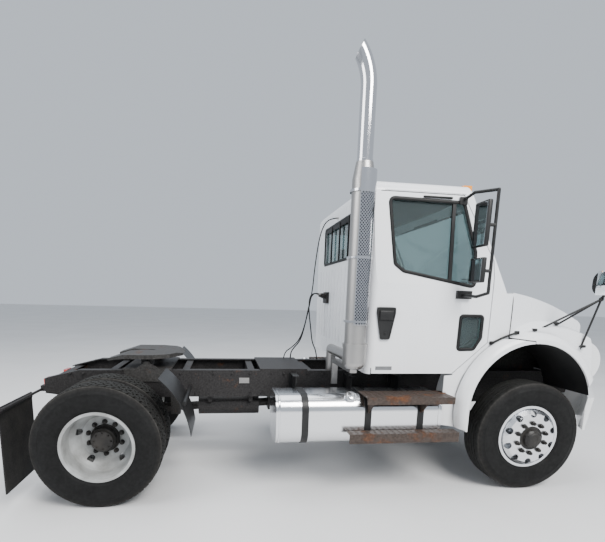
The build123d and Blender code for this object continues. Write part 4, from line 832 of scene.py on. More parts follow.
for side, sign in SIDES:
    face = sign * FRONT_FACE
    hub = merge(f"front_hub_{side}", [
        spun_hub(HUB_FRONT, front_axle.x, face, sign),
        nuts("cap_screws", front_axle.x, sign * (FRONT_FACE + 0.030), sign, 6, 0.073, 0.0055, 0.006),
        nuts("wheel_nuts", front_axle.x, face, sign),
    ])
    dress(hub, greasy, f"front_wheel_{side}")
    hub = merge(f"rear_hub_{side}", [
        spun_hub(HUB_REAR, rear_axle.x, sign * REAR_HUB_FACE, sign),
        nuts("flange_screws", rear_axle.x, sign * (REAR_HUB_FACE + 0.119), sign, 8, 0.070, 0.008, 0.008),
        nuts("wheel_nuts", rear_axle.x, sign * REAR_DISC_FACE, sign),
    ])
    dress(hub, greasy, f"rear_wheels_{side}")

# %% [markdown]
# ## A section led round an outline
# Window rubbers, seals and rims are all one section that runs round an outline with rounded corners. The
# outline is flat, and a small place function puts each of its points into the truck, so the same helper
# follows a leaning door and a bowed windscreen. A swept curve would twist at the corners of such a section.


# %% Outlines and rings
def rounded(points, radius, steps=5):
    """A closed outline of flat points with each corner rounded."""
    made = []
    for i, point in enumerate(points):
        corner = Vector(point)
        before = Vector(points[i - 1]) - corner
        after = Vector(points[(i + 1) % len(points)]) - corner
        half = before.angle(after) / 2
        run = min(radius / math.tan(half), 0.45 * min(before.length, after.length))
        start = corner + before.normalized() * run
        end = corner + after.normalized() * run
        for k in range(steps + 1):
            t = k / steps
            made.append(start * (1 - t) ** 2 + corner * 2 * t * (1 - t) + end * t**2)
    return made


def from_bmesh(name, shape):
    """A piece from a shape that was built point by point, with its faces turned outwards."""
    bmesh.ops.recalc_face_normals(shape, faces=shape.faces)
    mesh = bpy.data.meshes.new(name)
    shape.to_mesh(mesh)
    shape.free()
    return new_piece(name, mesh)


def ring(name, outline, section, place):
    """A section of (outwards, off the surface) points round an outline; place puts it in the truck."""
    count = len(outline)
    middle = sum(outline, Vector((0, 0))) / count
    shape = bmesh.new()
    rows = []
    for i, point in enumerate(outline):
        along = outline[(i + 1) % count] - outline[i - 1]
        normal = Vector((along.y, -along.x)).normalized()
        if normal.dot(point - middle) < 0:
            normal = -normal
        flat = [(point + normal * across, off) for across, off in section]
        rows.append([shape.verts.new(place(spot.x, spot.y, off)) for spot, off in flat])
    for i in range(count):
        for k in range(len(section)):
            following = (k + 1) % len(section)
            shape.faces.new((rows[i][k], rows[i - 1][k], rows[i - 1][following], rows[i][following]))
    return from_bmesh(name, shape)


# %% [markdown]
# ## Window rubbers
# Each pane sits in a broad black rubber that hides the edge of the glass. Its section is led round the same
# outline that the hole has, and every point is moved onto the door's skin, which leans in above the belt.
# Only the right door has the small window low down.

# %% Door window rubbers
CAB_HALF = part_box("cab_sides")[1].y
CAB_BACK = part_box("cab_floor")[0].x
BELT = 1.900
GUTTER = 2.660
rubber = plain_finish("window_rubber", (0.004, 0.004, 0.0045), grey(0.010), 0.5, 120.0, 0.2, 0.25)
DOOR_WINDOW = (
    (-1.474, GUTTER - 0.070), (-0.815, GUTTER - 0.080), (-0.682, 2.182), (-0.668, 1.886), (-1.325, 2.003),
    (-1.404, 2.060),
)
PEEP_WINDOW = ((-0.765, 1.632), (-0.560, 1.632), (-0.560, 1.440), (-0.620, 1.340), (-0.768, 1.335))
RUBBER_SECTION = (
    (-0.012, -0.004), (-0.012, 0.004), (-0.007, 0.007), (0.012, 0.007), (0.017, 0.003), (0.017, -0.004),
)


def door_skin(z):
    """How far the door's skin is from the middle at a height."""
    return CAB_HALF - 0.045 * max(0.0, z - BELT) / (GUTTER - 0.012 - BELT)


def on_door(sign):
    """A place function that lays flat points on the skin of one door."""
    return lambda u, v, off: Vector((front(u), sign * (door_skin(v) + off), v))


for side, sign in SIDES:
    bands = [ring("rubber", rounded(DOOR_WINDOW, 0.040), RUBBER_SECTION, on_door(sign))]
    if side == "right":
        bands.append(ring("rubber", rounded(PEEP_WINDOW, 0.025), RUBBER_SECTION, on_door(sign)))
    dress(merge(f"door_rubber_{side}", bands), rubber, f"door_{side}", 50)

# %% [markdown]
# The back wall is flat, so its window's rubber stays in one plane. Three upright bars and a dark band at the
# top cross the glass. The windscreen is raked and bowed, so its place function moves each point back with its
# height and with its distance from the middle.

# %% Rear window and windscreen rubbers
REAR_HALF, REAR_LOW, REAR_HIGH = 0.680, 2.156, GUTTER - 0.100
REAR_WINDOW = ((-REAR_HALF, REAR_LOW), (REAR_HALF, REAR_LOW), (REAR_HALF, REAR_HIGH), (-REAR_HALF, REAR_HIGH))
BARS = (-0.340, 0.0, 0.340)
SCREEN_LOW, SCREEN_HIGH = 1.905, GUTTER - 0.092
SCREEN = ((-0.935, SCREEN_LOW), (0.935, SCREEN_LOW), (0.893, SCREEN_HIGH), (-0.893, SCREEN_HIGH))
SCREEN_RAKE = math.radians(25.9)
SCREEN_BOW = 0.110
COWL_TOP = 1.837


def screen_place(y, z, off):
    """A point on the raked and curved windscreen, off the glass by off."""
    lean = math.tan(SCREEN_RAKE) * (z - COWL_TOP)
    bow = SCREEN_BOW * (y / CAB_HALF) ** 2
    x = front(-0.240) - bow - lean + off * math.cos(SCREEN_RAKE)
    return Vector((x, y, z + off * math.sin(SCREEN_RAKE)))


def on_back(u, v, off):
    return Vector((CAB_BACK - off, u, v))


rear_frame = ring("rubber", rounded(REAR_WINDOW, 0.030), RUBBER_SECTION, on_back)
bars = [
    block("bar", (CAB_BACK - 0.012, y - 0.010, REAR_LOW), (CAB_BACK + 0.004, y + 0.010, REAR_HIGH), 0.003)
    for y in BARS
]
shade_band = block(
    "band", (CAB_BACK - 0.004, -0.66, GUTTER - 0.150), (CAB_BACK + 0.004, 0.66, GUTTER - 0.110), 0.002
)
dress(merge("rear_window_rubber", [rear_frame, shade_band, *bars]), rubber, "chassis", 50)
screen_rubber = ring("windscreen_rubber", rounded(SCREEN, 0.060), RUBBER_SECTION, screen_place)
dress(screen_rubber, rubber, "chassis", 50)

# %% [markdown]
# ## Bent tubes
# Wiper arms, gutters, straps and hoses are round lines that bend smoothly. Each is a curve led by a few
# points, with a round bevel and closed ends. Stiff ones are made a mesh at once, and hoses stay curves, so
# that their length can be measured along them.


# %% Bent lines and tubes
def bent_line(name, points, radius, roundness, fineness):
    """A curve of one smooth spline along points, round and closed at its ends."""
    curve = bpy.data.curves.new(name, "CURVE")
    curve.dimensions = "3D"
    curve.bevel_depth = radius
    curve.bevel_resolution = roundness
    curve.use_fill_caps = True
    spline = curve.splines.new("NURBS")
    spline.points.add(len(points) - 1)
    for target, point in zip(spline.points, points):
        target.co = (*point, 1)
    spline.order_u = 3
    spline.use_endpoint_u = True
    spline.resolution_u = fineness
    return new_piece(name, curve)


def tube(name, points, radius):
    """A rigid bent tube along points, as a mesh."""
    make_active(bent_line(name, points, radius, 2, 6))
    bpy.ops.object.convert(target="MESH")
    return bpy.context.object


# %% [markdown]
# ## Wipers and drip rails
# Two wipers park low on the glass. Each is an arm that rises from its pivot and a blade that lies on the bow
# of the glass. A thin black rain deflector stands above each door window, and a white gutter above that.

# %% Wipers
WIPER_FOOT = 1.880
BLADE_HEIGHT = 1.965
BLADE_LONG = 0.52


def wiper(pivot_y, tip_y):
    """A wiper whose arm leads from its pivot to the middle of its blade."""
    reach = tip_y - pivot_y
    arm = tube("arm", [
        screen_place(pivot_y + reach * t, WIPER_FOOT + 0.10 * t, 0.030 - 0.012 * t) for t in (0, 0.3, 0.7, 1)
    ], 0.006)
    blade = tube("blade", [
        screen_place(tip_y + BLADE_LONG * t, BLADE_HEIGHT + 0.05 * t, 0.011) for t in (-0.5, 0, 0.5)
    ], 0.007)
    pivot = drum("pivot", screen_place(pivot_y, WIPER_FOOT, 0.018), 0.018, 0.030, "X", 16, 0.003)
    return [arm, blade, pivot]


dress(merge("wipers", wiper(0.62, 0.22) + wiper(-0.12, -0.52)), rubber, "chassis")

# %% [markdown]
# The deflector is a narrow strip, so a rounded block serves. The gutter follows the slightly bowed edge of
# the roof, so it is a tube along three points.

# %% Rain deflectors and gutters
DEFLECTOR_SKIN = door_skin(2.60)
GUTTER_SKIN = door_skin(2.64)
GUTTER_LINE = ((-1.52, -0.004, 2.655), (-1.10, -0.002, 2.658), (-0.80, -0.004, 2.655))
for side, sign in SIDES:
    visor = side_block(
        "visor", sign, (-1.185, DEFLECTOR_SKIN - 0.004, 2.606), (-0.926, DEFLECTOR_SKIN + 0.014, 2.622), 0.004
    )
    gutter = tube("gutter", [(front(x), sign * (GUTTER_SKIN + off), z) for x, off, z in GUTTER_LINE], 0.006)
    dress(visor, rubber, f"door_{side}")
    dress(gutter, white, "chassis")

# %% [markdown]
# ## Mirrors
# The bent tubes are the frame's. On each door the flat and the wide-angle mirror get housings with rounded
# backs and bright glass that faces the driver. On the bonnet the tripod's feet get round pads, and the mirror
# on it gets its pane.

# %% Mirrors
mirror_glass, mirror_shader = new_material("mirror_glass", (0.80, 0.83, 0.85), 0.02, 1.0)
mirror_film = [(0.3, grey(0.01)), (0.8, grey(0.06))]
vary(mirror_glass, mirror_shader, "Roughness", noise(mirror_glass, 12.0, 4.0), mirror_film)
HEAD_REAR, HEAD_FRONT = -0.790, -0.762
HEAD_INNER, HEAD_OUTER = CAB_HALF + 0.100, CAB_HALF + 0.288
HEAD_HEIGHTS = ((2.200, 2.548), (1.916, 2.108))
MIRROR_FEET = ((-0.038, 1.096, 1.522), (0.211, 1.056, 1.582), (0.457, 1.122, 1.378))
WING_PANE = ((0.474, 1.150, 1.845), (0.4785, 1.310, 2.058))
for side, sign in SIDES:
    housings = []
    panes = []
    for low, high in HEAD_HEIGHTS:
        housings.append(side_block(
            "housing", sign, (HEAD_REAR - 0.004, HEAD_INNER - 0.004, low - 0.004),
            (HEAD_FRONT + 0.006, HEAD_OUTER + 0.003, high + 0.004), 0.011, 3,
        ))
        panes.append(side_block(
            "pane", sign, (HEAD_REAR - 0.0055, HEAD_INNER + 0.010, low + 0.010),
            (HEAD_REAR - 0.002, HEAD_OUTER - 0.010, high - 0.010), 0.001, 1,
        ))
    dress(merge(f"mirror_housings_{side}", housings), black_plastic, f"door_{side}")
    dress(merge(f"mirror_panes_{side}", panes), mirror_glass, f"door_{side}")
    feet = [drum("foot", (front(x), sign * y, z), 0.026, 0.024, "Z", 16, 0.006) for x, y, z in MIRROR_FEET]
    dress(merge(f"mirror_feet_{side}", feet), black_plastic, "hood")
    pane = side_block(f"wing_mirror_pane_{side}", sign, *WING_PANE, 0.0015)
    dress(pane, mirror_glass, "hood")

# %% [markdown]
# ## Door handles
# A black paddle sits in a shallow black plate with a raised rim, and the keyhole is below it. The plate is
# the frame's. The rim is a small section led round the plate's outline, off the door's skin.

# %% Door handles
HANDLE = (
    (-1.543, 1.692), (-1.378, 1.692), (-1.378, 1.640), (-1.420, 1.418), (-1.500, 1.418), (-1.543, 1.640),
)
HANDLE_RIM = ((-0.012, 0.012), (-0.010, 0.019), (0.001, 0.019), (0.003, 0.010))
for side, sign in SIDES:
    rim = ring("rim", rounded(HANDLE, 0.020), HANDLE_RIM, on_door(sign))
    paddle = side_block(
        "paddle", sign, (-1.522, CAB_HALF + 0.013, 1.585), (-1.400, CAB_HALF + 0.028, 1.665), 0.006, 3
    )
    lock = drum("lock", (front(-1.460), sign * (CAB_HALF + 0.017), 1.470), 0.012, 0.010, "Y", 20, 0.002)
    dress(merge(f"door_handle_{side}", [rim, paddle, lock]), black_plastic, f"door_{side}")

# %% [markdown]
# ## The pierced heat shield
# The shield is a half tube of thin chrome with rows of diamond holes. A grid is poked and its first edges are
# dissolved, which leaves diamonds. Each is inset, its middle is deleted, and the grid is then rolled round
# the exhaust and given its thickness. Cutting every hole with a boolean would be slow and leave rough faces.

# %% A sheet to roll
STACK_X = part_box("stack_pipe")[1].x - 0.0635
STACK_Y = middle_of("stack_pipe").y
SHIELD_RADIUS = 0.1040
SHIELD_LOW, SHIELD_HIGH = (corner.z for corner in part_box("heat_shield"))
PIERCED_HIGH = SHIELD_HIGH - 0.170
SHIELD_START = math.radians(-118)
SHIELD_SWEEP = math.radians(180)
SHIELD_WIDE = SHIELD_RADIUS * SHIELD_SWEEP
COLUMNS, ROWS = 14, 39
WEB_WIDTH = 0.0026
SHEET_METAL = 0.0016


def flat_grid(name, columns, rows):
    """A unit square cut into a grid, with one corner at the origin."""
    start_clean()
    bpy.ops.mesh.primitive_grid_add(
        x_subdivisions=columns, y_subdivisions=rows, size=1, location=(0.5, 0.5, 0)
    )
    return settle(bpy.context.object, name)


def roll_shield(piece):
    """Roll a flat sheet: its x, from 0 to 1, goes round the tube, its y is the height, its z stands off."""
    for vertex in piece.data.vertices:
        angle = SHIELD_START + SHIELD_SWEEP * vertex.co.x
        radius = SHIELD_RADIUS + vertex.co.z
        vertex.co = (STACK_X + radius * math.cos(angle), STACK_Y + radius * math.sin(angle), vertex.co.y)


print("shield from", round(SHIELD_LOW, 3), "to", round(SHIELD_HIGH, 3), "m")

# %% [markdown]
# The holes are made while the sheet still lies flat and at its real size, so that every web between them gets
# the same width. Only then is its width brought back to 1 and the sheet rolled.


# %% Pierced half of the shield
def is_straight(edge):
    """Whether an edge runs along the grid and not aslant."""
    run = edge.verts[0].co - edge.verts[1].co
    return abs(run.x) < 1e-6 or abs(run.y) < 1e-6


pierced = flat_grid("pierced_shield", COLUMNS, ROWS)
for vertex in pierced.data.vertices:
    vertex.co.x *= SHIELD_WIDE
    vertex.co.y *= PIERCED_HIGH - SHIELD_LOW
open_mesh(pierced)
bpy.ops.mesh.poke()
bpy.ops.mesh.select_mode(type="EDGE")
bpy.ops.mesh.select_all(action="DESELECT")
shape = bmesh.from_edit_mesh(pierced.data)
for edge in shape.edges:
    edge.select = is_straight(edge) and not edge.is_boundary
bmesh.update_edit_mesh(pierced.data)
bpy.ops.mesh.dissolve_edges(use_verts=False)
shape = bmesh.from_edit_mesh(pierced.data)
diamonds = [face for face in shape.faces if len(face.verts) == 4]
bmesh.ops.inset_individual(shape, faces=diamonds, thickness=WEB_WIDTH, use_even_offset=True)
bmesh.ops.delete(shape, geom=diamonds, context="FACES")
bmesh.update_edit_mesh(pierced.data)
close_mesh()
for vertex in pierced.data.vertices:
    vertex.co.x /= SHIELD_WIDE
    vertex.co.y += SHIELD_LOW
roll_shield(pierced)
use_modifier(pierced, "SOLIDIFY", thickness=SHEET_METAL, offset=0.0)
print(len(diamonds), "holes in the shield")

# %% [markdown]
# The top of the shield is plain. Three clamps hold it to the exhaust and two arms hold it to the cab. The
# muffler behind the holes lies in the shield's shade, so a dark sleeve of painted shade stands just inside
# the pierced part.

# %% Shield top, clamps and sleeve
CLAMP_BAND = ((0.0925, -0.009), (0.1062, -0.009), (0.1062, 0.009), (0.0925, 0.009), (0.0925, -0.009))
CLAMP_HEIGHTS = (1.570, 2.090, 2.610)
ARM_HEIGHTS = (2.080, 2.600)
# Painted shade: a dark blue-grey metal that stands for the shade inside the pierced shield.
painted_shade_metal = polished_metal("painted_shade_steel", (0.055, 0.060, 0.075), 0.45, (4, 4, 1), 0.6)


def plain_sheet(name, start, end, low, high, off, thickness):
    """A plain part of the shield between two shares of its sweep and two heights."""
    sheet = flat_grid(name, 36, 2)
    for vertex in sheet.data.vertices:
        vertex.co = (start + (end - start) * vertex.co.x, low + (high - low) * vertex.co.y, off)
    roll_shield(sheet)
    return use_modifier(sheet, "SOLIDIFY", thickness=thickness, offset=0.0)


plain_top = plain_sheet("plain_top", 0.0, 1.0, PIERCED_HIGH, SHIELD_HIGH, 0.0, 0.0020)
clamps = [
    turned("clamp", [(radius, z + rise) for radius, rise in CLAMP_BAND], (STACK_X, STACK_Y, 0), (0, 0, 1), 48)
    for z in CLAMP_HEIGHTS
]
arms = [
    block("arm", (STACK_X - 0.020, STACK_Y + 0.090, z), (CAB_BACK, STACK_Y + 0.140, z + 0.020), 0.003)
    for z in ARM_HEIGHTS
]
# A sleeve of painted shade just inside the holes, where the shield shades the muffler.
painted_shade_sleeve = plain_sheet(
    "painted_shade_sleeve", 0.02, 0.98, SHIELD_LOW + 0.01, PIERCED_HIGH - 0.01, -0.0085, SHEET_METAL
)
dress(painted_shade_sleeve, painted_shade_metal, "chassis")
shield = merge("heat_shield_pierced", [pierced, plain_top, *clamps, *arms])
dress(shield, chrome, "chassis", 40, ("heat_shield",))
soot = drum("pipe_soot", (STACK_X, STACK_Y, 2.835), 0.0665, 0.030, "Z", 40, 0.003)
dress(soot, chrome, "chassis")

# %% [markdown]
# ## Inside the cab
# Through the glass one sees grey vinyl: a headliner, a lined back wall and trim on the doors. Each lining is
# a softly rounded slab that stands just off the shell, so the white paint doesn't show inside.

# %% Roof and back linings
vinyl = plain_finish("grey_vinyl", (0.045, 0.046, 0.05), (0.075, 0.076, 0.08), 0.65, 260.0, 0.35)
CAB_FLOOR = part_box("cab_floor")[0].z + 0.055
LINING_BACK = CAB_BACK + 0.058
headliner = block("headliner", (CAB_BACK + 0.075, -0.955, 2.640), (front(-0.700), 0.955, 2.668), 0.012, 3)
dress(headliner, vinyl, "chassis")
back_low = block(
    "back_low", (LINING_BACK, -0.985, CAB_FLOOR + 0.02), (LINING_BACK + 0.020, 0.985, 2.110), 0.008
)
back_top = block("back_top", (LINING_BACK, -0.950, 2.600), (LINING_BACK + 0.016, 0.950, 2.636), 0.006)
dress(merge("back_lining", [back_low, back_top]), vinyl, "chassis")

# %% [markdown]
# The door trim is a panel with a raised welt round its edge and an arm rest. The panel has slanted sides, so
# it is one face on the outline's points that is given a thickness. The welt is a ring on the same outline.

# %% Door trim
TRIM_OUTLINE = rounded((
    (-1.52, 1.24), (-0.90, 1.24), (-0.53, 1.50), (-0.53, 1.84), (-0.70, 1.86), (-1.30, 1.972), (-1.52, 1.98),
), 0.04)
WELT_SECTION = ((-0.010, 0.0), (-0.004, 0.016), (0.004, 0.016), (0.010, 0.0))
TRIM_SKIN = CAB_HALF - 0.066
for side, sign in SIDES:
    welt = ring(
        "welt", TRIM_OUTLINE, WELT_SECTION,
        lambda u, v, off: Vector((front(u), sign * (CAB_HALF - 0.056 - off), v)),
    )
    panel = bpy.data.meshes.new("panel")
    corners = [(front(spot.x), sign * TRIM_SKIN, spot.y) for spot in TRIM_OUTLINE]
    panel.from_pydata(corners, [], [tuple(range(len(corners)))])
    sheet = use_modifier(new_piece("panel", panel), "SOLIDIFY", thickness=0.010, offset=0.0)
    rest = side_block("arm_rest", sign, (-1.36, TRIM_SKIN, 1.66), (-0.90, CAB_HALF - 0.125, 1.71), 0.018, 3)
    dress(merge(f"door_trim_{side}", [welt, sheet, rest]), vinyl, f"door_{side}")

# %% [markdown]
# ## Seats
# Each seat is a base, a cushion, a back and a head rest. The padded shapes are boxes that are divided, drawn
# in towards their edges and rounded with a subdivision surface. Two shallow seams run along each of them.
# They take the place of the frame's plain solids.

# %% Padded shapes
SEAM_PLACE, SEAM_WIDTH, SEAM_DEPTH = 0.62, 0.05, 0.006


def pad(name, first, second, swell, lean=0.0):
    """A crowned cushion between two corners; lean moves its top back by that share of its height."""
    cushion = block(name, first, second)
    open_mesh(cushion)
    bpy.ops.mesh.subdivide(number_cuts=7)
    close_mesh()
    low, high = Vector(first), Vector(second)
    middle, half = (low + high) / 2, (high - low) / 2
    for vertex in cushion.data.vertices:
        place = Vector([(vertex.co[i] - middle[i]) / abs(half[i]) for i in range(3)])
        for i in range(3):
            others = [place[k] for k in range(3) if k != i]
            crown_share = (1 - others[0] ** 4) * (1 - others[1] ** 4)
            vertex.co[i] -= math.copysign(swell * (1 - crown_share), place[i]) * abs(place[i]) ** 3
        seam = SEAM_DEPTH * math.exp(-((abs(place.y) - SEAM_PLACE) / SEAM_WIDTH) ** 2)
        vertex.co.z -= seam * max(0.0, place.z)
        vertex.co.x -= seam * max(0.0, place.x)
        vertex.co.x -= lean * (vertex.co.z - low.z)
    return use_modifier(cushion, "SUBSURF", levels=1, render_levels=1)


# %% [markdown]
# The seat stands on a closed plastic base. The back leans by 16 parts in a hundred, and the head rest sits on
# the line of the back. Cushion, back and head rest are one padded piece.

# %% Seats
SEAT_Y = 0.480
SEAT_LOW = 1.42
for side, sign in SIDES:
    y = sign * SEAT_Y
    base = block(
        f"seat_base_{side}", (front(-1.33), y - 0.18, CAB_FLOOR), (front(-1.01), y + 0.18, SEAT_LOW), 0.015
    )
    dress(base, interior, "chassis")
    seat = merge(f"seat_pads_{side}", [
        pad("cushion", (front(-1.40), y - 0.25, SEAT_LOW), (front(-0.90), y + 0.25, 1.56), 0.030),
        pad("back", (front(-1.40), y - 0.24, 1.52), (front(-1.27), y + 0.24, 2.18), 0.028, 0.16),
        pad("head_rest", (front(-1.495), y - 0.13, 2.19), (front(-1.42), y + 0.13, 2.33), 0.018),
    ])
    dress(seat, cloth, "chassis", 60, ("seats",))

# %% [markdown]
# ## Step grips
# The step plates are pressed with rows of raised rings for grip. One low ring is turned and copied in rows.
# Each ring has few faces, because there are hundreds of them.

# %% Step grips
GRIP_RING = ((0.006, -0.001), (0.009, 0.0025), (0.013, 0.0025), (0.016, -0.001))
GRIP_PITCH, GRIP_ROW = 0.055, 0.040
STEP_PLATES = ((2.24, 2.99, 1.03, 1.27, 0.938), (2.10, 3.06, 1.19, 1.27, 0.620))
for side, sign in SIDES:
    grips = []
    for x_low, x_high, y_low, y_high, z in STEP_PLATES:
        one = turned("grip", GRIP_RING, (rear(x_low), sign * y_low, z), (0, 0, 1), 10)
        offsets = [
            Vector((GRIP_PITCH * i, sign * GRIP_ROW * j, 0))
            for i in range(int((x_high - x_low) / GRIP_PITCH) + 1)
            for j in range(int((y_high - y_low) / GRIP_ROW) + 1)
        ]
        grips.append(spread(one, "grips", offsets))
    dress(merge(f"step_grips_{side}", grips), rusty_step, "chassis", 40)

# %% [markdown]
# ## Tank seams and caps
# A fuel tank is a wrapped sheet with a pressed end welded on at each side. The weld shows as a low bead near
# each end, which is a ring on the tank's outline. The filler cap with its rim sits on the tank's upper
# shoulder and points up and out, so it is turned round a leaning axis.

# %% Tank seams and caps
TANK_BACK, TANK_FRONT = (corner.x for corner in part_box("fuel_tanks"))
TANK_LOW, TANK_HIGH = 0.480, 0.925
TANK_INNER, TANK_OUTER = 0.645, 1.165
TANK_OUTLINE = rounded((
    (TANK_INNER, TANK_LOW), (TANK_OUTER, TANK_LOW), (TANK_OUTER, TANK_HIGH), (TANK_INNER, TANK_HIGH),
), 0.140, 8)
WELD_SECTION = ((-0.004, -0.010), (0.0028, -0.005), (0.0028, 0.005), (-0.004, 0.010))
CAP_PROFILE = (
    (0, 0.046), (0.030, 0.046), (0.036, 0.043), (0.038, 0.020), (0.044, 0.016), (0.044, 0.008), (0.0, 0.008),
)
CAP_TILT = math.radians(42)
for side, sign in SIDES:
    beads = [
        ring("bead", TANK_OUTLINE, WELD_SECTION, lambda u, v, off: Vector((x + off, sign * u, v)))
        for x in (TANK_BACK + 0.028, TANK_FRONT - 0.028)
    ]
    cap_place = (rear(2.119), sign * (TANK_OUTER - 0.068), TANK_HIGH - 0.030)
    cap = turned("cap", CAP_PROFILE, cap_place, (0, sign * math.sin(CAP_TILT), math.cos(CAP_TILT)), 32)
    dress(merge(f"tank_seams_{side}", [*beads, cap]), tank_metal, "chassis", 40)

# %% [markdown]
# ## Bonnet straps
# A rubber strap behind each front wheel arch holds the bonnet down. It is a short bent tube between two
# rounded ends, one on the bonnet and one on the cab, and it goes with the bonnet when that is tilted.

# %% Bonnet straps
STRAP_SKIN = CAB_HALF + 0.006
STRAP_LINE = ((-0.447, 0.010, 1.400), (-0.380, 0.022, 1.440), (-0.300, 0.022, 1.472), (-0.225, 0.012, 1.492))
STRAP_ENDS = ((-0.452, 1.398), (-0.218, 1.494))
for side, sign in SIDES:
    strap = tube("strap", [(front(x), sign * (STRAP_SKIN + off), z) for x, off, z in STRAP_LINE], 0.010)
    ends = [
        side_block(
            "end", sign, (x - 0.022, STRAP_SKIN - 0.004, z - 0.016),
            (x + 0.022, STRAP_SKIN + 0.020, z + 0.016), 0.006,
        )
        for x, z in STRAP_ENDS
    ]
    dress(merge(f"bonnet_strap_{side}", [strap, *ends]), rubber, "hood")

# %% [markdown]
# ## Rail bolts
# The cross members and brackets are bolted through the frame rails, so bolt heads run along both edges of
# each rail where such a part sits behind it. One bolt is a small nut with its washer, copied to every place.
# A bare steel plate on the right rail keeps the place of the plate that such a truck has there.

# %% Rail bolts and the bare plate
RAIL_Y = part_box("frame_rails")[1].y
RAIL_LOW, RAIL_HIGH = (corner.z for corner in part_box("frame_rails"))
UPPER_BOLTS = (-0.42, -0.30, 0.45, 0.60, 0.92, 1.10, 1.28, 1.50, 1.62, 1.86, 2.02, 2.30)
LOWER_BOLTS = (-0.42, -0.30, 0.60, 0.74, 1.28, 1.40, 1.86)
for side, sign in SIDES:
    bolt = nuts("one_bolt", 0, sign * RAIL_Y, sign, 1, 0.0, 0.0115, 0.010)
    bolt.data.transform(Matrix.Translation((0, 0, -front_axle.z)))
    places = [(rear(x), 0, RAIL_HIGH - 0.032) for x in UPPER_BOLTS]
    places += [(rear(x), 0, RAIL_LOW + 0.036) for x in LOWER_BOLTS]
    dress(spread(bolt, f"rail_bolts_{side}", places), frame_black, "chassis")
plate = block(
    "blank_plate", (rear(1.17), -RAIL_Y - 0.002, RAIL_HIGH - 0.130),
    (rear(1.27), -RAIL_Y + 0.002, RAIL_HIGH - 0.075), 0.001, 1,
)
dress(plate, worn_steel, "chassis")

# %% [markdown]
# ## Black wheel houses
# Over each front wheel a black plastic shell hides the white skin. It is an arc of thin sheet just inside the
# arch. The bonnet carries its front part and the cab its rear part, so each part is its own piece. The rear
# part is scuffed grey near its top, which a thin lighter patch shows.

# %% Wheel house shells
ARCH_CENTRE = Vector((front(-0.060), 0, 0.800))
ARCH_RADIUS = 0.605
LINER_INNER, LINER_OUTER, PATCH_INNER = 0.604, 1.196, 0.98
scuffed = plain_finish("scuffed_liner", (0.10, 0.105, 0.11), (0.20, 0.205, 0.21), 0.6, 40.0)


def arch_shell(name, start, end, near, gap=0.0015, steps=28):
    """A strip of sheet inside the arch between two angles, in degrees from straight ahead, upwards."""
    shape = bmesh.new()
    rows = []
    far = math.copysign(LINER_OUTER, near)
    for i in range(steps + 1):
        angle = math.radians(start + (end - start) * i / steps)
        x = ARCH_CENTRE.x + (ARCH_RADIUS - gap) * math.cos(angle)
        z = ARCH_CENTRE.z + (ARCH_RADIUS - gap) * math.sin(angle)
        rows.append([shape.verts.new((x, near + (far - near) * t, z)) for t in (0.0, 0.5, 1.0)])
    for i in range(steps):
        for k in range(2):
            shape.faces.new((rows[i][k], rows[i + 1][k], rows[i + 1][k + 1], rows[i][k + 1]))
    return use_modifier(from_bmesh(name, shape), "SOLIDIFY", thickness=0.002, offset=0.0)


for side, sign in SIDES:
    ahead = arch_shell(f"wheel_house_front_{side}", 12, 92, sign * LINER_INNER)
    dress(ahead, black_plastic, "hood", 40)
    behind = arch_shell(f"wheel_house_rear_{side}", 95, 192, sign * LINER_INNER)
    dress(behind, black_plastic, "chassis", 40)
    patch = arch_shell(f"scuffed_patch_{side}", 96, 112, sign * PATCH_INNER, 0.0045, 8)
    dress(patch, scuffed, "chassis", 40)

# %% [markdown]
# ## Door and bonnet seals
# A dark seal lies deep in the gap round each door, so the gap reads as a line. It is a narrow ring on the
# door's outline, set back behind the skin. A bare strip low on each door keeps the place of a name plate.

# %% Door seals and sill plates
DOOR = (
    (-1.560, 1.116), (-1.560, GUTTER - 0.020), (-0.819, GUTTER - 0.020), (-0.505, 2.112), (-0.490, 1.980),
    (-0.490, 1.400), (-0.805, 1.116),
)
SEAL_SECTION = ((0.0025, -0.045), (0.0025, -0.012), (0.0075, -0.012), (0.0075, -0.045))
for side, sign in SIDES:
    seal = ring(f"door_seal_{side}", rounded(DOOR, 0.004, 2), SEAL_SECTION, on_door(sign))
    dress(seal, rubber, "chassis", 40)
    sill_plate = side_block(
        f"blank_sill_plate_{side}", sign, (-1.525, CAB_HALF - 0.001, 1.147),
        (-1.375, CAB_HALF + 0.0025, 1.180), 0.0012, 1,
    )
    dress(sill_plate, scuffed, f"door_{side}")

# %% [markdown]
# Behind the bonnet a soft round seal closes the gap to the cab. It climbs one side of the cowl, follows the
# bow of its top and comes down the other side, so it is one thin tube through points on that line.

# %% Bonnet seal
COWL_X = front(-0.281)
COWL_SIDE = ((-1.098, 1.450), (-1.098, 1.640), (-1.094, 1.815))
COWL_TOP_Y = (-1.04, -0.80, -0.40, 0.0, 0.40, 0.80, 1.04)
COWL_BOW = 0.080
cowl_points = [
    *[(COWL_X, y, z) for y, z in COWL_SIDE],
    *[(COWL_X + COWL_BOW * (1 - (y / CAB_HALF) ** 2), y, 1.838) for y in COWL_TOP_Y],
    *[(COWL_X, -y, z) for y, z in reversed(COWL_SIDE)],
]
dress(tube("bonnet_seal", cowl_points, 0.0042), rubber, "chassis")
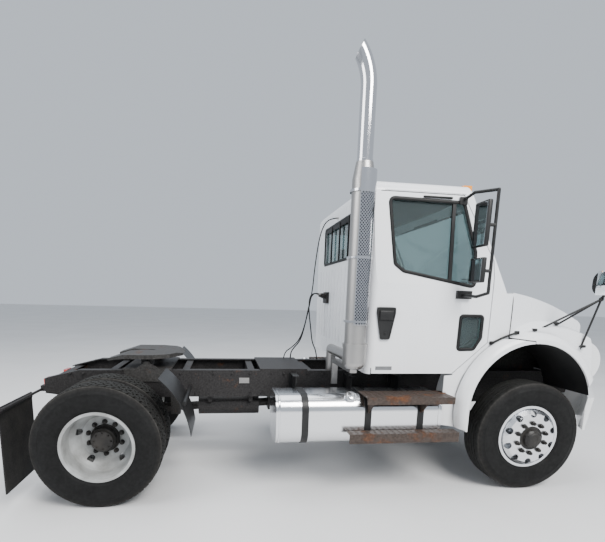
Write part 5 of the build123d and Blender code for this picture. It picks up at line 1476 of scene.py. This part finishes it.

# %% [markdown]
# ## Air and light lines behind the cab
# Three hoses hang behind the cab: two leave the couplings on the back wall and one comes from above the
# window. Each is one smooth curve through given points that sags like a hanging hose and ends in the left
# rail.

# %% Hoses
HOSES = (
    ("air_line_outer", 0.007, 0.89, (
        (CAB_BACK - 0.090, 0.52, 1.800), (CAB_BACK - 0.145, 0.52, 1.823), (CAB_BACK - 0.210, 0.51, 1.775),
        (CAB_BACK - 0.215, 0.49, 1.600), (CAB_BACK - 0.190, 0.46, 1.400), (CAB_BACK - 0.175, 0.43, 1.230),
        (CAB_BACK - 0.125, 0.405, 1.130), (CAB_BACK - 0.115, 0.40, 1.026),
    )),
    ("air_line_inner", 0.007, 0.93, (
        (CAB_BACK - 0.090, 0.42, 1.800), (CAB_BACK - 0.140, 0.42, 1.822), (CAB_BACK - 0.205, 0.42, 1.790),
        (CAB_BACK - 0.238, 0.42, 1.620), (CAB_BACK - 0.268, 0.42, 1.450), (CAB_BACK - 0.318, 0.42, 1.250),
        (CAB_BACK - 0.405, 0.41, 1.160), (CAB_BACK - 0.440, 0.40, 1.100), (CAB_BACK - 0.440, 0.40, 1.026),
    )),
    ("light_line", 0.006, 1.82, (
        (CAB_BACK, 0.10, 2.612), (CAB_BACK - 0.060, 0.10, 2.612), (CAB_BACK - 0.150, 0.10, 2.560),
        (CAB_BACK - 0.205, 0.10, 2.400), (CAB_BACK - 0.245, 0.10, 2.060), (CAB_BACK - 0.255, 0.11, 1.850),
        (CAB_BACK - 0.300, 0.14, 1.550), (CAB_BACK - 0.360, 0.20, 1.290), (CAB_BACK - 0.450, 0.28, 1.180),
        (CAB_BACK - 0.520, 0.35, 1.120), (CAB_BACK - 0.525, 0.39, 1.026),
    )),
)
for name, radius, length, points in HOSES:
    line = bent_line(name, points, radius, 3, 12)
    line.data.materials.append(rubber)
    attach(line, "chassis")
    print(name, length, "m")

# %% [markdown]
# Each hose leaves through a fitting: the air lines screw onto hexagonal unions at the couplings, and the
# light line passes the wall through a gland. Small six-sided drums serve for all three.

# %% Hose ends
fittings = [drum("end", (CAB_BACK - 0.100, y, 1.8035), 0.013, 0.034, "X", 6, 0.002) for y in (0.42, 0.52)]
fittings.append(drum("end", (CAB_BACK - 0.010, 0.10, 2.612), 0.012, 0.024, "X", 6, 0.002))
dress(merge("hose_ends", fittings), worn_steel, "chassis")
